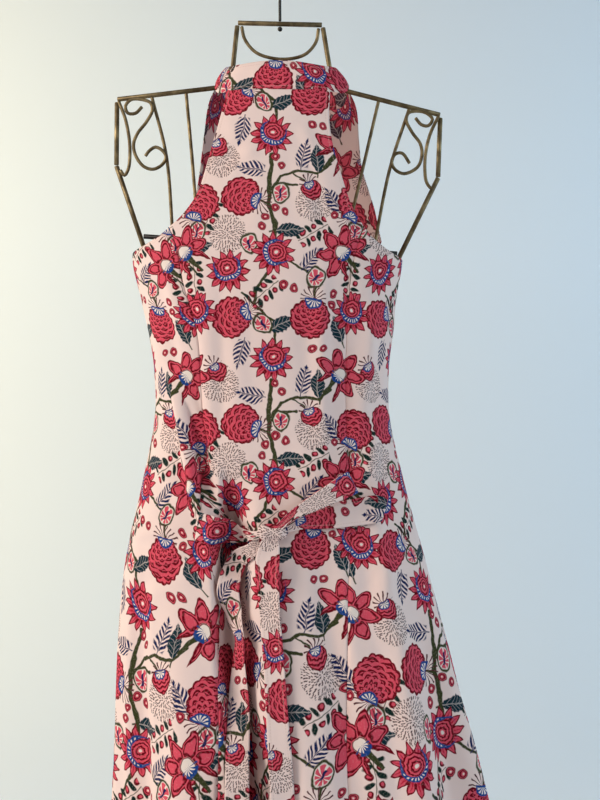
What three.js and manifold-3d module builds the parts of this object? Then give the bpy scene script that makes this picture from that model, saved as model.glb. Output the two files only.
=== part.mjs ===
// A sleeveless maxi dress with a racerback, hung on an open wire torso hanger.
// Millimetres, +Z up. The origin is the inside of the top of the hanger's hook, on the rail that holds it.
// The back of the dress, with its tied belt, faces -Y; the front faces +Y; +X is to the right of that view.
// The hanger lies in the plane Y = 0. The dress hangs round it from a stand collar on the shoulder bars.
import * as THREE from "three";
import { mergeVertices } from "three/addons/utils/BufferGeometryUtils.js";
import Module from "manifold-3d";

// Driving dimensions
const CLOTH = 1.6; // thickness of a panel's wall
const BAND = 2.0; // thickness of the doubled cloth of the collar, ties, loop and tails
const GAP = 0.3; // clearance between pieces that touch
const HEM = -1550; // height of the hem, 1390 below the collar's top
const CROSSING = -330; // where the princess seams leave the armholes
const TIP_LEFT = -351; // underarm tips, where the side seams start
const TIP_RIGHT = -358;
const COLLAR_SEAM = -190.6; // the collar's lower edge, front and back
const ON_BAR_LEFT = -173.2; // the same edge where it lies on the shoulder bars
const ON_BAR_RIGHT = -176.8;
const BAR_RADIUS = 2.5; // main wires of the hanger
const ROD_RADIUS = 1.75; // scrollwork and upright rods
const STEM_RADIUS = 1.5; // the hook's wire

const CENTRE_COLUMNS = 18;
const SIDE_COLUMNS = 14;
const UPPER_ROWS = 9;
const COLLAR_COLUMNS = 60;

// Heights of the rows below the armholes, closer together where the cloth bends most
const ROW_HEIGHTS = [
  CROSSING, -346, -368, -398, -435, -475, -515, -552, -584, -614, -645, -678,
  -716, -765, -830, -915, -1030, -1160, -1290, -1420, HEM,
];

// Level sections of the dress. left and right are the side limits, near and far the depths behind and
// in front of the hanger's plane, and boxy the exponent of the oval (2 is an ellipse).
const SECTIONS = [
  { z: -155, left: -55.5, right: 57.5, near: 44, far: 41, boxy: 2.2 },
  { z: -173, left: -67.5, right: 70.5, near: 46.5, far: 43, boxy: 2.25 },
  { z: -191, left: -77, right: 80, near: 49, far: 46, boxy: 2.3 },
  { z: -215, left: -91, right: 93, near: 53, far: 52, boxy: 2.4 },
  { z: -245, left: -105, right: 104, near: 58, far: 58, boxy: 2.4 },
  { z: -283, left: -123, right: 114, near: 65, far: 67, boxy: 2.4 },
  { z: -315, left: -138, right: 120, near: 72, far: 76, boxy: 2.4 },
  { z: -351, left: -153, right: 127, near: 79, far: 88, boxy: 2.35 },
  { z: -398, left: -144.5, right: 121, near: 82, far: 92, boxy: 2.3 },
  { z: -430, left: -137.5, right: 119, near: 80, far: 86, boxy: 2.3 },
  { z: -470, left: -131.5, right: 115, near: 76, far: 79, boxy: 2.3 },
  { z: -523, left: -130.5, right: 116, near: 74, far: 76, boxy: 2.3 },
  { z: -585, left: -143, right: 129, near: 77, far: 82, boxy: 2.25 },
  { z: -669, left: -160, right: 151, near: 87, far: 96, boxy: 2.2 },
  { z: -752, left: -168, right: 174, near: 100, far: 112, boxy: 2.15 },
  { z: -878, left: -168, right: 205, near: 118, far: 132, boxy: 2.1 },
  { z: -1000, left: -172, right: 232, near: 134, far: 148, boxy: 2.05 },
  { z: -1180, left: -186, right: 264, near: 156, far: 168, boxy: 2 },
  { z: -1360, left: -204, right: 290, near: 176, far: 186, boxy: 2 },
  { z: -1550, left: -222, right: 314, near: 194, far: 202, boxy: 2 },
];

// Edges of the centre panels above the crossing, which are the armholes' edges
const ARMHOLES = [
  { z: -172, backLeft: -53.5, backRight: 51.5, frontLeft: -67, frontRight: 70 },
  { z: -195, backLeft: -55, backRight: 51.4, frontLeft: -77.5, frontRight: 80.5 },
  { z: -221, backLeft: -60.4, backRight: 50.4, frontLeft: -82.5, frontRight: 84 },
  { z: -250, backLeft: -68.3, backRight: 54.4, frontLeft: -87, frontRight: 87.5 },
  { z: -275, backLeft: -74.8, backRight: 61.4, frontLeft: -91.5, frontRight: 95 },
  { z: -295, backLeft: -81, backRight: 67.6, frontLeft: -96.5, frontRight: 101 },
  { z: -310, backLeft: -90, backRight: 73, frontLeft: -102, frontRight: 104.5 },
  { z: -322, backLeft: -100, backRight: 80, frontLeft: -110, frontRight: 107 },
  { z: CROSSING, backLeft: -109.5, backRight: 85, frontLeft: -117, frontRight: 109.5 },
];

// Edges of the centre panels below the crossing, which are the princess seams
const SEAMS = [
  { z: CROSSING, backLeft: -109.5, backRight: 85, frontLeft: -117, frontRight: 109.5 },
  { z: -352, backLeft: -101, backRight: 77.5, frontLeft: -101, frontRight: 92 },
  { z: -387, backLeft: -95, backRight: 69.4, frontLeft: -88, frontRight: 78 },
  { z: -440, backLeft: -80.5, backRight: 68.7, frontLeft: -80, frontRight: 69 },
  { z: -512, backLeft: -77.6, backRight: 68.7, frontLeft: -74, frontRight: 64 },
  { z: -600, backLeft: -74, backRight: 72, frontLeft: -77, frontRight: 70 },
  { z: -640, backLeft: -66, backRight: 71, frontLeft: -80, frontRight: 75 },
  { z: -700, backLeft: -59.5, backRight: 67.5, frontLeft: -84, frontRight: 82 },
  { z: -880, backLeft: -57, backRight: 68, frontLeft: -93, frontRight: 101 },
  { z: -1200, backLeft: -62, backRight: 84, frontLeft: -106, frontRight: 128 },
  { z: HEM, backLeft: -74, backRight: 104, frontLeft: -120, frontRight: 150 },
];

// The largest folds. A fold runs from height top, at angle from, to height bottom, at angle to; 0 degrees
// is the middle of the back, 90 the right side and 180 the front. depth is out (+) or in (-), left and right
// are its half widths in degrees, grow and fade the lengths over which it starts and dies away.
const FOLDS = [
  // the deep pleat beside the left princess seam of the skirt, and the soft roll next to it
  { top: -598, bottom: HEM, from: -13, to: -13.5, depth: -27, left: 6.5, right: 10, grow: 150, fade: 0 },
  { top: -620, bottom: HEM, from: -32, to: -36, depth: 9, left: 14, right: 13, grow: 240, fade: 0 },
  { top: -640, bottom: HEM, from: 3, to: 3, depth: 7, left: 7, right: 10, grow: 300, fade: 0 },
  // the shallow valley along the right princess seam
  { top: -560, bottom: HEM, from: 16, to: 16, depth: -8, left: 7, right: 8, grow: 220, fade: 0 },
  { top: -600, bottom: HEM, from: 42, to: 27, depth: 11, left: 9, right: 11, grow: 160, fade: 0 },
  { top: -640, bottom: HEM, from: 58, to: 47, depth: -13, left: 11, right: 11, grow: 260, fade: 0 },
  { top: -680, bottom: HEM, from: 72, to: 66, depth: 10, left: 9, right: 8, grow: 240, fade: 0 },
  // the pleat at the right side, whose far layer shows past the near one
  { top: -700, bottom: HEM, from: 84, to: 80, depth: -24, left: 8, right: 8, grow: 190, fade: 0 },
  { top: -720, bottom: HEM, from: 100, to: 97, depth: 8, left: 10, right: 10, grow: 240, fade: 0 },
  // the left side of the skirt
  { top: -610, bottom: HEM, from: -56, to: -57, depth: -12, left: 10, right: 10, grow: 260, fade: 0 },
  { top: -700, bottom: HEM, from: -78, to: -76, depth: 9, left: 11, right: 10, grow: 300, fade: 0 },
  { top: -740, bottom: HEM, from: -101, to: -99, depth: -17, left: 10, right: 11, grow: 300, fade: 0 },
  // the front of the skirt
  { top: -680, bottom: HEM, from: 120, to: 119, depth: -18, left: 11, right: 10, grow: 280, fade: 0 },
  { top: -640, bottom: HEM, from: 139, to: 140, depth: 12, left: 11, right: 11, grow: 300, fade: 0 },
  { top: -620, bottom: HEM, from: 158, to: 160, depth: -20, left: 10, right: 11, grow: 300, fade: 0 },
  { top: -600, bottom: HEM, from: 181, to: 181, depth: 11, left: 11, right: 12, grow: 300, fade: 0 },
  { top: -640, bottom: HEM, from: 204, to: 203, depth: -19, left: 11, right: 10, grow: 280, fade: 0 },
  { top: -660, bottom: HEM, from: 224, to: 223, depth: 12, left: 10, right: 11, grow: 300, fade: 0 },
  { top: -700, bottom: HEM, from: 243, to: 242, depth: -16, left: 10, right: 9, grow: 300, fade: 0 },
  // the drag line from the left side down to the knot, and the slack beside it
  { top: -452, bottom: -640, from: -58, to: -21, depth: 7.5, left: 6, right: 6, grow: 70, fade: 60 },
  { top: -480, bottom: -650, from: -47, to: -12, depth: -6, left: 6, right: 7, grow: 60, fade: 50 },
  // slack over the ties at the right, and at the front of the waist
  { top: -520, bottom: -650, from: 52, to: 40, depth: 5, left: 9, right: 9, grow: 60, fade: 60 },
  { top: -500, bottom: -660, from: 150, to: 158, depth: -6, left: 10, right: 10, grow: 70, fade: 70 },
  { top: -500, bottom: -660, from: 214, to: 206, depth: -6, left: 10, right: 10, grow: 70, fade: 70 },
];

// The collar's top edge at angles round the neck
const COLLAR_TOP = [
  { angle: -180, top: -164 },
  { angle: -120, top: -160.5 },
  { angle: -90, top: -157.5 },
  { angle: -47, top: -162 },
  { angle: 0, top: -160.4 },
  { angle: 40, top: -163 },
  { angle: 90, top: -158.5 },
  { angle: 130, top: -160.5 },
  { angle: 180, top: -164 },
];

// Ties, tails and loop as flat bands. x and z are a point of the middle line, wide the band's width,
// lift its distance off the panel behind, and turn its roll out of that panel in degrees.
const TIE_LEFT = [
  { x: -79, z: -625.1, wide: 28, lift: 1.3, turn: 0 },
  { x: -71, z: -626.6, wide: 27.5, lift: 1.9, turn: 0 },
  { x: -63.6, z: -628.4, wide: 27, lift: 2.6, turn: 3 },
  { x: -51, z: -631.8, wide: 24, lift: 5.5, turn: 6 },
  { x: -39, z: -635.2, wide: 16, lift: 9, turn: 4 },
  { x: -24, z: -633, wide: 9, lift: 10, turn: 4 },
  { x: -6, z: -629, wide: 7, lift: 11, turn: 0 },
];
const TIE_RIGHT = [
  { x: -4, z: -629, wide: 7, lift: 11, turn: 0 },
  { x: 11, z: -624, wide: 11, lift: 8.5, turn: 0 },
  { x: 19, z: -620.6, wide: 14, lift: 7, turn: -8 },
  { x: 36, z: -617.5, wide: 20, lift: 4, turn: -8 },
  { x: 54.7, z: -614.6, wide: 25, lift: 3, turn: -5 },
  { x: 70, z: -612.6, wide: 26, lift: 2.6, turn: 0 },
  { x: 83.6, z: -611.1, wide: 27, lift: 2.6, turn: 0 },
  { x: 96.2, z: -609.2, wide: 27, lift: 2.2, turn: 0 },
  { x: 104.5, z: -611, wide: 22, lift: 1.5, turn: 0 },
];
const TAIL_RIGHT = [
  { x: -5.5, z: -629, wide: 12, lift: 13, turn: 0 },
  { x: -8, z: -641, wide: 19, lift: 14, turn: 0 },
  { x: -10.5, z: -660, wide: 24, lift: 11, turn: 8 },
  { x: -9, z: -690, wide: 21, lift: 8, turn: 14 },
  { x: -6.6, z: -720, wide: 20, lift: 7, turn: 12 },
  { x: -3.3, z: -762, wide: 20, lift: 6, turn: 6 },
  { x: -0.4, z: -805, wide: 21, lift: 5, turn: -4 },
  { x: 3.5, z: -860, wide: 23, lift: 4.5, turn: -8 },
  { x: 5.5, z: -920, wide: 24, lift: 4, turn: -4 },
  { x: 5, z: -980, wide: 24, lift: 3.5, turn: 2 },
  { x: 4, z: -1035, wide: 25, lift: 3.5, turn: 0 },
];
const TAIL_LEFT = [
  { x: -9, z: -630.5, wide: 6, lift: 5.5, turn: 0 },
  { x: -26, z: -647, wide: 14, lift: 4.2, turn: 0 },
  { x: -40, z: -659, wide: 19, lift: 3.8, turn: 0 },
  { x: -49, z: -686, wide: 22, lift: 4.5, turn: 4 },
  { x: -43, z: -710, wide: 20, lift: 10, turn: 36 },
  { x: -37, z: -731, wide: 18, lift: 12, turn: 62 },
  { x: -38, z: -757, wide: 19, lift: 10, turn: 48 },
  { x: -38, z: -800, wide: 22, lift: 6, turn: 14 },
  { x: -38.5, z: -860, wide: 23, lift: 5, turn: 4 },
  { x: -38, z: -920, wide: 24, lift: 4, turn: 0 },
  { x: -37, z: -970, wide: 24, lift: 4, turn: 0 },
  { x: -36, z: -1015, wide: 25, lift: 4, turn: 0 },
];
// The loop leaves the knot, turns back at its end and returns; lift is that of its outer run.
const LOOP = [
  { x: -4, z: -628, wide: 7, lift: 18.5, turn: 0 },
  { x: 14, z: -612.5, wide: 9, lift: 19, turn: 0 },
  { x: 30, z: -603.5, wide: 14, lift: 19, turn: 0 },
  { x: 46, z: -595.2, wide: 18, lift: 18, turn: 0 },
  { x: 60, z: -588.2, wide: 21, lift: 16.5, turn: 0 },
  { x: 70, z: -583.2, wide: 23, lift: 15, turn: 0 },
];
const LOOP_DEPTH = 5; // distance between the loop's two runs
const KNOT = { x: -5.5, z: -629, lift: 12, halfWide: 15, halfDeep: 9.5, halfHigh: 9 };

// The hanger, all in the plane Y = 0: ends of its straight wires and points along its bent ones
const BAR_LEFT = { inner: [-51.2, -174.4], corner: [-169.6, -188.4] };
const BAR_RIGHT = { inner: [54.8, -176], corner: [167, -204.6] };
const NECK_TOP = { left: [-43.8, -108.6], right: [43.8, -110.7] };
const CHEST_BAR = { left: [-142.2, -331.3], right: [122.2, -349.4] };
const SIDE_WIRES = {
  left: { top: [-170, -191.6], bend: [-170.6, -256.8], foot: [-139.5, -350] },
  right: { top: [167.2, -207.8], bend: [164.9, -269.3], foot: [118, -366] },
};
const RODS = [
  { name: "rod_outer_left", top: -133.6, middle: [-118.5, -248], foot: -111.8 },
  { name: "rod_inner_left", top: -97.9, middle: [-91.2, -256], foot: -85.2 },
  { name: "rod_inner_right", top: 102.8, middle: [87, -258], foot: 66.5 },
  { name: "rod_outer_right", top: 134.7, middle: [114.8, -260], foot: 97.6 },
];
const NECK_ARC = [[-40, -112.2], [-36.5, -126], [-24, -140], [2, -146.4], [26, -141.5], [37.5, -128.5], [40.3, -114.4]];
const SCROLL_LEFT = [
  [-143.3, -197], [-150.3, -203.8], [-158.2, -203.6], [-160.6, -196.4], [-155, -189.7], [-144, -189.4],
  [-134.6, -193], [-132.5, -200], [-138.2, -211.9], [-148.2, -225], [-152.2, -236], [-150.2, -247.4],
  [-141.9, -258.9], [-131.9, -262], [-122.1, -256.8], [-118.5, -249.1], [-122.1, -242.7], [-129.4, -239],
  [-135.7, -242.7], [-140, -248.4],
];
const SCROLL_RIGHT = [
  [140.9, -208.6], [147.1, -215.6], [154.4, -216.7], [158.6, -210], [152.3, -203.6], [143, -201.6],
  [133.6, -203.6], [131.5, -211.4], [137.7, -224], [146.1, -235.9], [147.6, -248], [143, -259.9],
  [129.4, -266.6], [120, -262.6], [116.2, -254.7], [120, -246.3], [127, -245.3], [134.9, -255.9],
];
const HAIRPIN_LEFT = [
  [-167.6, -191.4], [-160.7, -209.8], [-156.6, -231], [-156, -249.5], [-157.6, -262], [-161.6, -268.6],
  [-166, -263],
];
const HAIRPIN_RIGHT = [
  [165.2, -206.7], [156.6, -224.4], [152, -242.2], [150.6, -261], [152.6, -276], [157.6, -282],
  [161.4, -277.5],
];
const HOOK_INNER_RADIUS = 20; // inside the crook, whose top is the origin
const STEM_FOOT = -106.7;
const BALL_RADIUS = 2.6;
const SCROLL_PLANE = -3.85; // the scrolls lie on the near side of the rods
const HAIRPIN_PLANE = -4.6; // the hairpins on the near side of the side wires

const COLOURS = {
  cloth: 0xe9d6cc,
  print: 0xc2475c,
  brass: 0x6d5436,
  dark: 0x1d1a19,
};

const wasm = await Module();
wasm.setup();

function material(colour, roughness, metalness) {
  return new THREE.MeshStandardMaterial({ color: COLOURS[colour], roughness, metalness });
}

// Numbers: a smooth curve through one column of a table whose rows go down in z (or up in another key)
function along(table, key, column, at) {
  const step = Math.sign(table[1][key] - table[0][key]);
  let i = 0;
  while (i < table.length - 2 && (at - table[i + 1][key]) * step > 0) i += 1;
  const slope = (j) => {
    const a = table[Math.max(j - 1, 0)];
    const b = table[Math.min(j + 1, table.length - 1)];
    return (b[column] - a[column]) / (b[key] - a[key]);
  };
  const from = table[i];
  const to = table[i + 1];
  const span = to[key] - from[key];
  const t = Math.min(Math.max((at - from[key]) / span, 0), 1);
  const a = slope(i) * span;
  const b = slope(i + 1) * span;
  const change = to[column] - from[column];
  return from[column] + t * (a + t * (3 * change - 2 * a - b + t * (a + b - 2 * change)));
}

function smoothStep(t) {
  const c = Math.min(Math.max(t, 0), 1);
  return c * c * (3 - 2 * c);
}

const radians = (degrees) => (degrees * Math.PI) / 180;
const signedPower = (v, power) => Math.sign(v) * Math.abs(v) ** power;

// The dress's surface before its folds: a point of the oval section at a height
function sectionPoint(angle, z) {
  const [left, right, near, far, boxy] = ["left", "right", "near", "far", "boxy"].map((column) =>
    along(SECTIONS, "z", column, z));
  const across = Math.sin(radians(angle));
  const ahead = Math.cos(radians(angle));
  const x = (left + right) / 2 + ((right - left) / 2) * signedPower(across, 2 / boxy);
  const y = -(ahead > 0 ? near : far) * signedPower(ahead, 2 / boxy);
  return [x, y];
}

// The angle at which the near (back) or far (front) side has a given x
function angleAt(x, z, side) {
  const left = along(SECTIONS, "z", "left", z);
  const right = along(SECTIONS, "z", "right", z);
  const boxy = along(SECTIONS, "z", "boxy", z);
  const share = Math.min(Math.max((x - (left + right) / 2) / ((right - left) / 2), -1), 1);
  const angle = (Math.asin(signedPower(share, boxy / 2)) * 180) / Math.PI;
  return side === "back" ? angle : 180 - angle;
}

// How far the folds move the surface out at an angle and height
function foldDepth(angle, z) {
  let sum = 0;
  for (const f of FOLDS) {
    if (z > f.top || z < f.bottom - f.fade) continue;
    const down = Math.min((f.top - z) / (f.top - f.bottom), 1);
    const centre = f.from + (f.to - f.from) * down;
    const off = ((((angle - centre + 180) % 360) + 360) % 360) - 180;
    const t = off < 0 ? -off / f.left : off / f.right;
    if (t >= 1) continue;
    const started = smoothStep((f.top - z) / f.grow);
    const lasting = f.fade ? smoothStep((z - f.bottom + f.fade) / f.fade) : 1;
    sum += f.depth * started * lasting * 0.5 * (1 + Math.cos(Math.PI * t));
  }
  return sum;
}

function outward(pointAt, angle, z) {
  const step = 0.4;
  const [ax, ay] = pointAt(angle - step, z);
  const [bx, by] = pointAt(angle + step, z);
  const length = Math.hypot(bx - ax, by - ay);
  return [(by - ay) / length, -(bx - ax) / length];
}

function foldedPoint(angle, z) {
  const [x, y] = sectionPoint(angle, z);
  const [nx, ny] = outward(sectionPoint, angle, z);
  const d = foldDepth(angle, z);
  return [x + nx * d, y + ny * d];
}

// A point of the cloth, moved off its outer face by a distance (negative goes inside)
function clothPoint(angle, z, off) {
  const [x, y] = foldedPoint(angle, z);
  const [nx, ny] = outward(foldedPoint, angle, z);
  return new THREE.Vector3(x + nx * off, y + ny * off, z);
}

// A closed wall from two grids of points, outer[row][column] and inner[row][column]. Rows go down and
// columns go to the right as seen from outside. A closed wall joins its last column to its first.
function wall(outer, inner, closed = false) {
  const rows = outer.length;
  const columns = outer[0].length;
  const positions = [];
  for (const grid of [outer, inner]) {
    for (const row of grid) for (const p of row) positions.push(p.x, p.y, p.z);
  }
  const o = (r, c) => r * columns + (c % columns);
  const i = (r, c) => rows * columns + o(r, c);
  const faces = [];
  const quad = (a, b, c, d) => faces.push(a, b, c, a, c, d);
  const spans = closed ? columns : columns - 1;
  for (let c = 0; c < spans; c += 1) {
    for (let r = 0; r < rows - 1; r += 1) {
      quad(o(r, c), o(r + 1, c), o(r + 1, c + 1), o(r, c + 1));
      quad(i(r, c), i(r, c + 1), i(r + 1, c + 1), i(r + 1, c));
    }
    quad(o(0, c), o(0, c + 1), i(0, c + 1), i(0, c));
    quad(o(rows - 1, c), i(rows - 1, c), i(rows - 1, c + 1), o(rows - 1, c + 1));
  }
  for (let r = 0; r < rows - 1 && !closed; r += 1) {
    quad(o(r, 0), i(r, 0), i(r + 1, 0), o(r + 1, 0));
    quad(o(r, spans), o(r + 1, spans), i(r + 1, spans), i(r, spans));
  }
  const geometry = new THREE.BufferGeometry();
  geometry.setAttribute("position", new THREE.Float32BufferAttribute(positions, 3));
  geometry.setIndex(faces);
  geometry.computeVertexNormals();
  return geometry;
}

// Angles of a centre panel's two edges at a height
function edgeAngles(side, z) {
  const table = z > CROSSING ? ARMHOLES : SEAMS;
  const left = angleAt(along(table, "z", side + "Left", z), z, side);
  const right = angleAt(along(table, "z", side + "Right", z), z, side);
  return side === "back" ? [left, right] : [right, left];
}

// The collar's lower edge: level at the back and front, raised over the shoulder bars
function collarRaised(angle) {
  const turned = ((((angle + 180) % 360) + 360) % 360) - 180;
  return smoothStep((41 - Math.abs(90 - Math.abs(turned))) / 35);
}

function collarBottom(angle) {
  const onBar = Math.sin(radians(angle)) < 0 ? ON_BAR_LEFT : ON_BAR_RIGHT;
  return COLLAR_SEAM + (onBar - COLLAR_SEAM) * collarRaised(angle);
}

// The panels' top edge, a little lower where it slopes
function neckEdge(angle) {
  const raised = collarRaised(angle);
  return collarBottom(angle) - 1.6 * GAP - 14 * GAP * raised * (1 - raised);
}

// Half a seam's gap as an angle at a height
function seamAngle(angle, z) {
  const [ax, ay] = foldedPoint(angle - 0.5, z);
  const [bx, by] = foldedPoint(angle + 0.5, z);
  return GAP / 2 / Math.hypot(bx - ax, by - ay);
}

function panelWall(rows) {
  const at = (off) => rows.map((row) => row.map(({ angle, z }) => clothPoint(angle, z, off)));
  return wall(at(0), at(-CLOTH));
}

// Back or front centre panel: armhole edges above the crossing, princess seams below it
function centrePanel(side) {
  const rows = [];
  const top = side === "back" ? COLLAR_SEAM : -174.6;
  const [topLeft, topRight] = edgeAngles(side, top);
  const place = (edges, z, column) => {
    const inset = column === 0 ? 1 : column === CENTRE_COLUMNS ? -1 : 0;
    const angle = edges[0] + ((edges[1] - edges[0]) * column) / CENTRE_COLUMNS;
    return { angle: angle + inset * seamAngle(angle, z), z };
  };
  for (let r = 0; r < UPPER_ROWS; r += 1) {
    const share = r / UPPER_ROWS;
    const edges = edgeAngles(side, top + (CROSSING - top) * share);
    const row = [];
    for (let c = 0; c <= CENTRE_COLUMNS; c += 1) {
      const neck = neckEdge(topLeft + ((topRight - topLeft) * c) / CENTRE_COLUMNS);
      row.push(place(edges, neck + (CROSSING - neck) * share, c));
    }
    rows.push(row);
  }
  for (const z of ROW_HEIGHTS) {
    const edges = edgeAngles(side, z);
    rows.push(Array.from({ length: CENTRE_COLUMNS + 1 }, (_, c) => place(edges, z, c)));
  }
  return panelWall(rows);
}

// Side panel between a princess seam and a side seam. Its top edge drops from the crossing to the underarm.
function sidePanel(side, right) {
  const sideSeam = side === "back" ? (right ? 90 : -90) : right ? 90 : 270;
  const tip = right ? TIP_RIGHT : TIP_LEFT;
  const rows = ROW_HEIGHTS.map((level) => {
    const row = [];
    for (let c = 0; c <= SIDE_COLUMNS; c += 1) {
      const share = c / SIDE_COLUMNS;
      const edge = CROSSING + (tip - CROSSING) * (1 - (1 - share) ** 2.7);
      const z = HEM + ((level - HEM) * (edge - HEM)) / (CROSSING - HEM);
      const edges = edgeAngles(side, z);
      const princess = edges[(side === "back") === right ? 1 : 0];
      const angle = princess + (sideSeam - princess) * share;
      const turn = Math.sign(sideSeam - princess);
      const inset = c === 0 ? turn : c === SIDE_COLUMNS ? -turn : 0;
      row.push({ angle: angle + inset * seamAngle(angle, z), z });
    }
    return sideSeam > row[0].angle ? row : row.reverse();
  });
  return panelWall(rows);
}

function collarWall() {
  const outer = [];
  const inner = [];
  const heights = [1, 0.5, 0];
  for (const share of heights) {
    const outerRow = [];
    const innerRow = [];
    for (let c = 0; c < COLLAR_COLUMNS; c += 1) {
      const angle = -180 + (360 * c) / COLLAR_COLUMNS;
      const bottom = collarBottom(angle);
      const z = bottom + (along(COLLAR_TOP, "angle", "top", angle) - bottom) * share;
      outerRow.push(clothPoint(angle, z, 0));
      innerRow.push(clothPoint(angle, z, -BAND));
    }
    outer.push(outerRow);
    inner.push(innerRow);
  }
  return wall(outer, inner, true);
}

// The y of the back's outer face at an x and height, found by stepping along the section
function backDepth(x, z) {
  let angle = angleAt(x, z, "back");
  for (let i = 0; i < 12; i += 1) {
    const slope = foldedPoint(angle + 0.5, z)[0] - foldedPoint(angle - 0.5, z)[0];
    angle += (x - foldedPoint(angle, z)[0]) / Math.max(slope, 0.5);
  }
  return foldedPoint(angle, z)[1];
}

// The outermost y of the back under a band's width at one of its stations
function clearDepth(table, i) {
  const before = table[Math.max(i - 1, 0)];
  const after = table[Math.min(i + 1, table.length - 1)];
  const run = Math.hypot(after.x - before.x, after.z - before.z);
  const { x, z, wide } = table[i];
  const across = { x: (-(after.z - before.z) / run) * wide, z: ((after.x - before.x) / run) * wide };
  return Math.min(...[-0.5, -0.25, 0, 0.25, 0.5].map((share) => backDepth(x + share * across.x, z + share * across.z)));
}

// Stations of a band: middle point, unit vector across and unit vector out of its face
function bandStations(table, closer = 0) {
  const centres = table.map(({ x, z, lift }, i) =>
    new THREE.Vector3(x, clearDepth(table, i) - lift + closer, z));
  return table.map((row, i) => {
    const before = centres[Math.max(i - 1, 0)];
    const after = centres[Math.min(i + 1, table.length - 1)];
    const run = after.clone().sub(before).normalize();
    const flat = new THREE.Vector3(0, -1, 0).addScaledVector(run, run.y).normalize();
    const face = flat.applyAxisAngle(run, radians(row.turn));
    const across = new THREE.Vector3().crossVectors(face, run).normalize();
    return { centre: centres[i], across, face, wide: row.wide };
  });
}

// A flat band as a closed wall. The stations are its rows, with three columns across.
function bandWall(stations) {
  const grid = (off) => stations.map(({ centre, across, face, wide }) =>
    [-0.5, 0, 0.5].map((share) => centre.clone().addScaledVector(across, share * wide).addScaledVector(face, off)));
  return wall(grid(BAND / 2), grid(-BAND / 2));
}

// The loop's stations: out along its outer run, round its end, and back along the run behind it
function loopStations() {
  const out = bandStations(LOOP);
  const back = bandStations(LOOP, LOOP_DEPTH).reverse();
  for (const s of back) s.face.negate();
  const end = out[out.length - 1];
  const run = end.centre.clone().sub(out[out.length - 2].centre).normalize();
  const middle = end.centre.clone().lerp(back[0].centre, 0.5).addScaledVector(run, LOOP_DEPTH * 0.55);
  return [...out, { centre: middle, across: end.across, face: run, wide: end.wide }, ...back];
}

function toSolid(geometry) {
  const bare = new THREE.BufferGeometry();
  bare.setAttribute("position", geometry.getAttribute("position"));
  if (geometry.index) bare.setIndex(geometry.index);
  const merged = mergeVertices(bare, 1e-4);
  return new wasm.Manifold(new wasm.Mesh({
    numProp: 3,
    vertProperties: merged.getAttribute("position").array,
    triVerts: new Uint32Array(merged.index.array),
  }));
}

function toGeometry(solid) {
  const mesh = solid.getMesh();
  const geometry = new THREE.BufferGeometry();
  geometry.setAttribute("position", new THREE.BufferAttribute(mesh.vertProperties, 3));
  geometry.setIndex(new THREE.BufferAttribute(mesh.triVerts, 1));
  geometry.computeVertexNormals();
  return geometry;
}

// The knot: a rounded lump with a waist where the wrapped band pulls tight
function knotGeometry(grow) {
  const geometry = new THREE.SphereGeometry(1, 14, 10);
  const position = geometry.getAttribute("position");
  const y = backDepth(KNOT.x, KNOT.z) - KNOT.lift;
  for (let i = 0; i < position.count; i += 1) {
    const [a, b, c] = [position.getX(i), position.getY(i), position.getZ(i)];
    const waist = 1 - 0.14 * Math.exp(-((a / 0.35) ** 2));
    position.setXYZ(
      i,
      KNOT.x + signedPower(a, 0.8) * (KNOT.halfWide + grow),
      y - c * waist * (KNOT.halfDeep + grow),
      KNOT.z + b * waist * (KNOT.halfHigh + grow),
    );
  }
  return geometry;
}

// A round wire along a curve through points of a plane of constant y
function wire(points, radius, steps, y = 0) {
  const stations = points.map(([x, z]) => new THREE.Vector3(x, y, z));
  const path = stations.length === 2
    ? new THREE.LineCurve3(...stations)
    : new THREE.CatmullRomCurve3(stations, false, "centripetal");
  const circle = new THREE.Shape().absarc(0, 0, radius, 0, Math.PI * 2);
  return new THREE.ExtrudeGeometry(circle, { extrudePath: path, steps, curveSegments: 4, bevelEnabled: false });
}

const onLine = (from, to, x) => from[1] + ((to[1] - from[1]) * (x - from[0])) / (to[0] - from[0]);

// A straight or bent rod whose ends stop GAP short of the bars that carry it
function seatedRod(rod) {
  const bar = rod.top < 0 ? BAR_LEFT : BAR_RIGHT;
  const reach = BAR_RADIUS + GAP + ROD_RADIUS * 0.45;
  const top = [rod.top, onLine(bar.inner, bar.corner, rod.top) - reach];
  const foot = [rod.foot, onLine(CHEST_BAR.left, CHEST_BAR.right, rod.foot) + reach];
  return wire([top, rod.middle, foot], ROD_RADIUS, 6);
}

// The hook: a straight stem that swings out into a round crook whose inner top is the origin
function hookPoints() {
  const radius = HOOK_INNER_RADIUS + STEM_RADIUS;
  const centre = -HOOK_INNER_RADIUS;
  const points = [[0, STEM_FOOT], [0, -82], [1.5, -62], [9, -48]];
  for (let angle = -42; angle <= 205; angle += 19) {
    points.push([radius * Math.cos(radians(angle)), centre + radius * Math.sin(radians(angle))]);
  }
  return points;
}

const dress = new THREE.Group();
const cloth = material("cloth", 0.85, 0);
const printed = material("print", 0.85, 0);
const brass = material("brass", 0.42, 0.85);
const dark = material("dark", 0.5, 0.3);

function add(name, geometry, finish) {
  const mesh = new THREE.Mesh(geometry, finish.clone());
  mesh.name = name;
  dress.add(mesh);
}

add("back_centre_panel", centrePanel("back"), cloth);
add("front_centre_panel", centrePanel("front"), cloth);
for (const [side, right] of [["back", false], ["back", true], ["front", false], ["front", true]]) {
  add(`${side}_side_panel_${right ? "right" : "left"}`, sidePanel(side, right), cloth);
}
add("collar_band", collarWall(), cloth);

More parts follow.
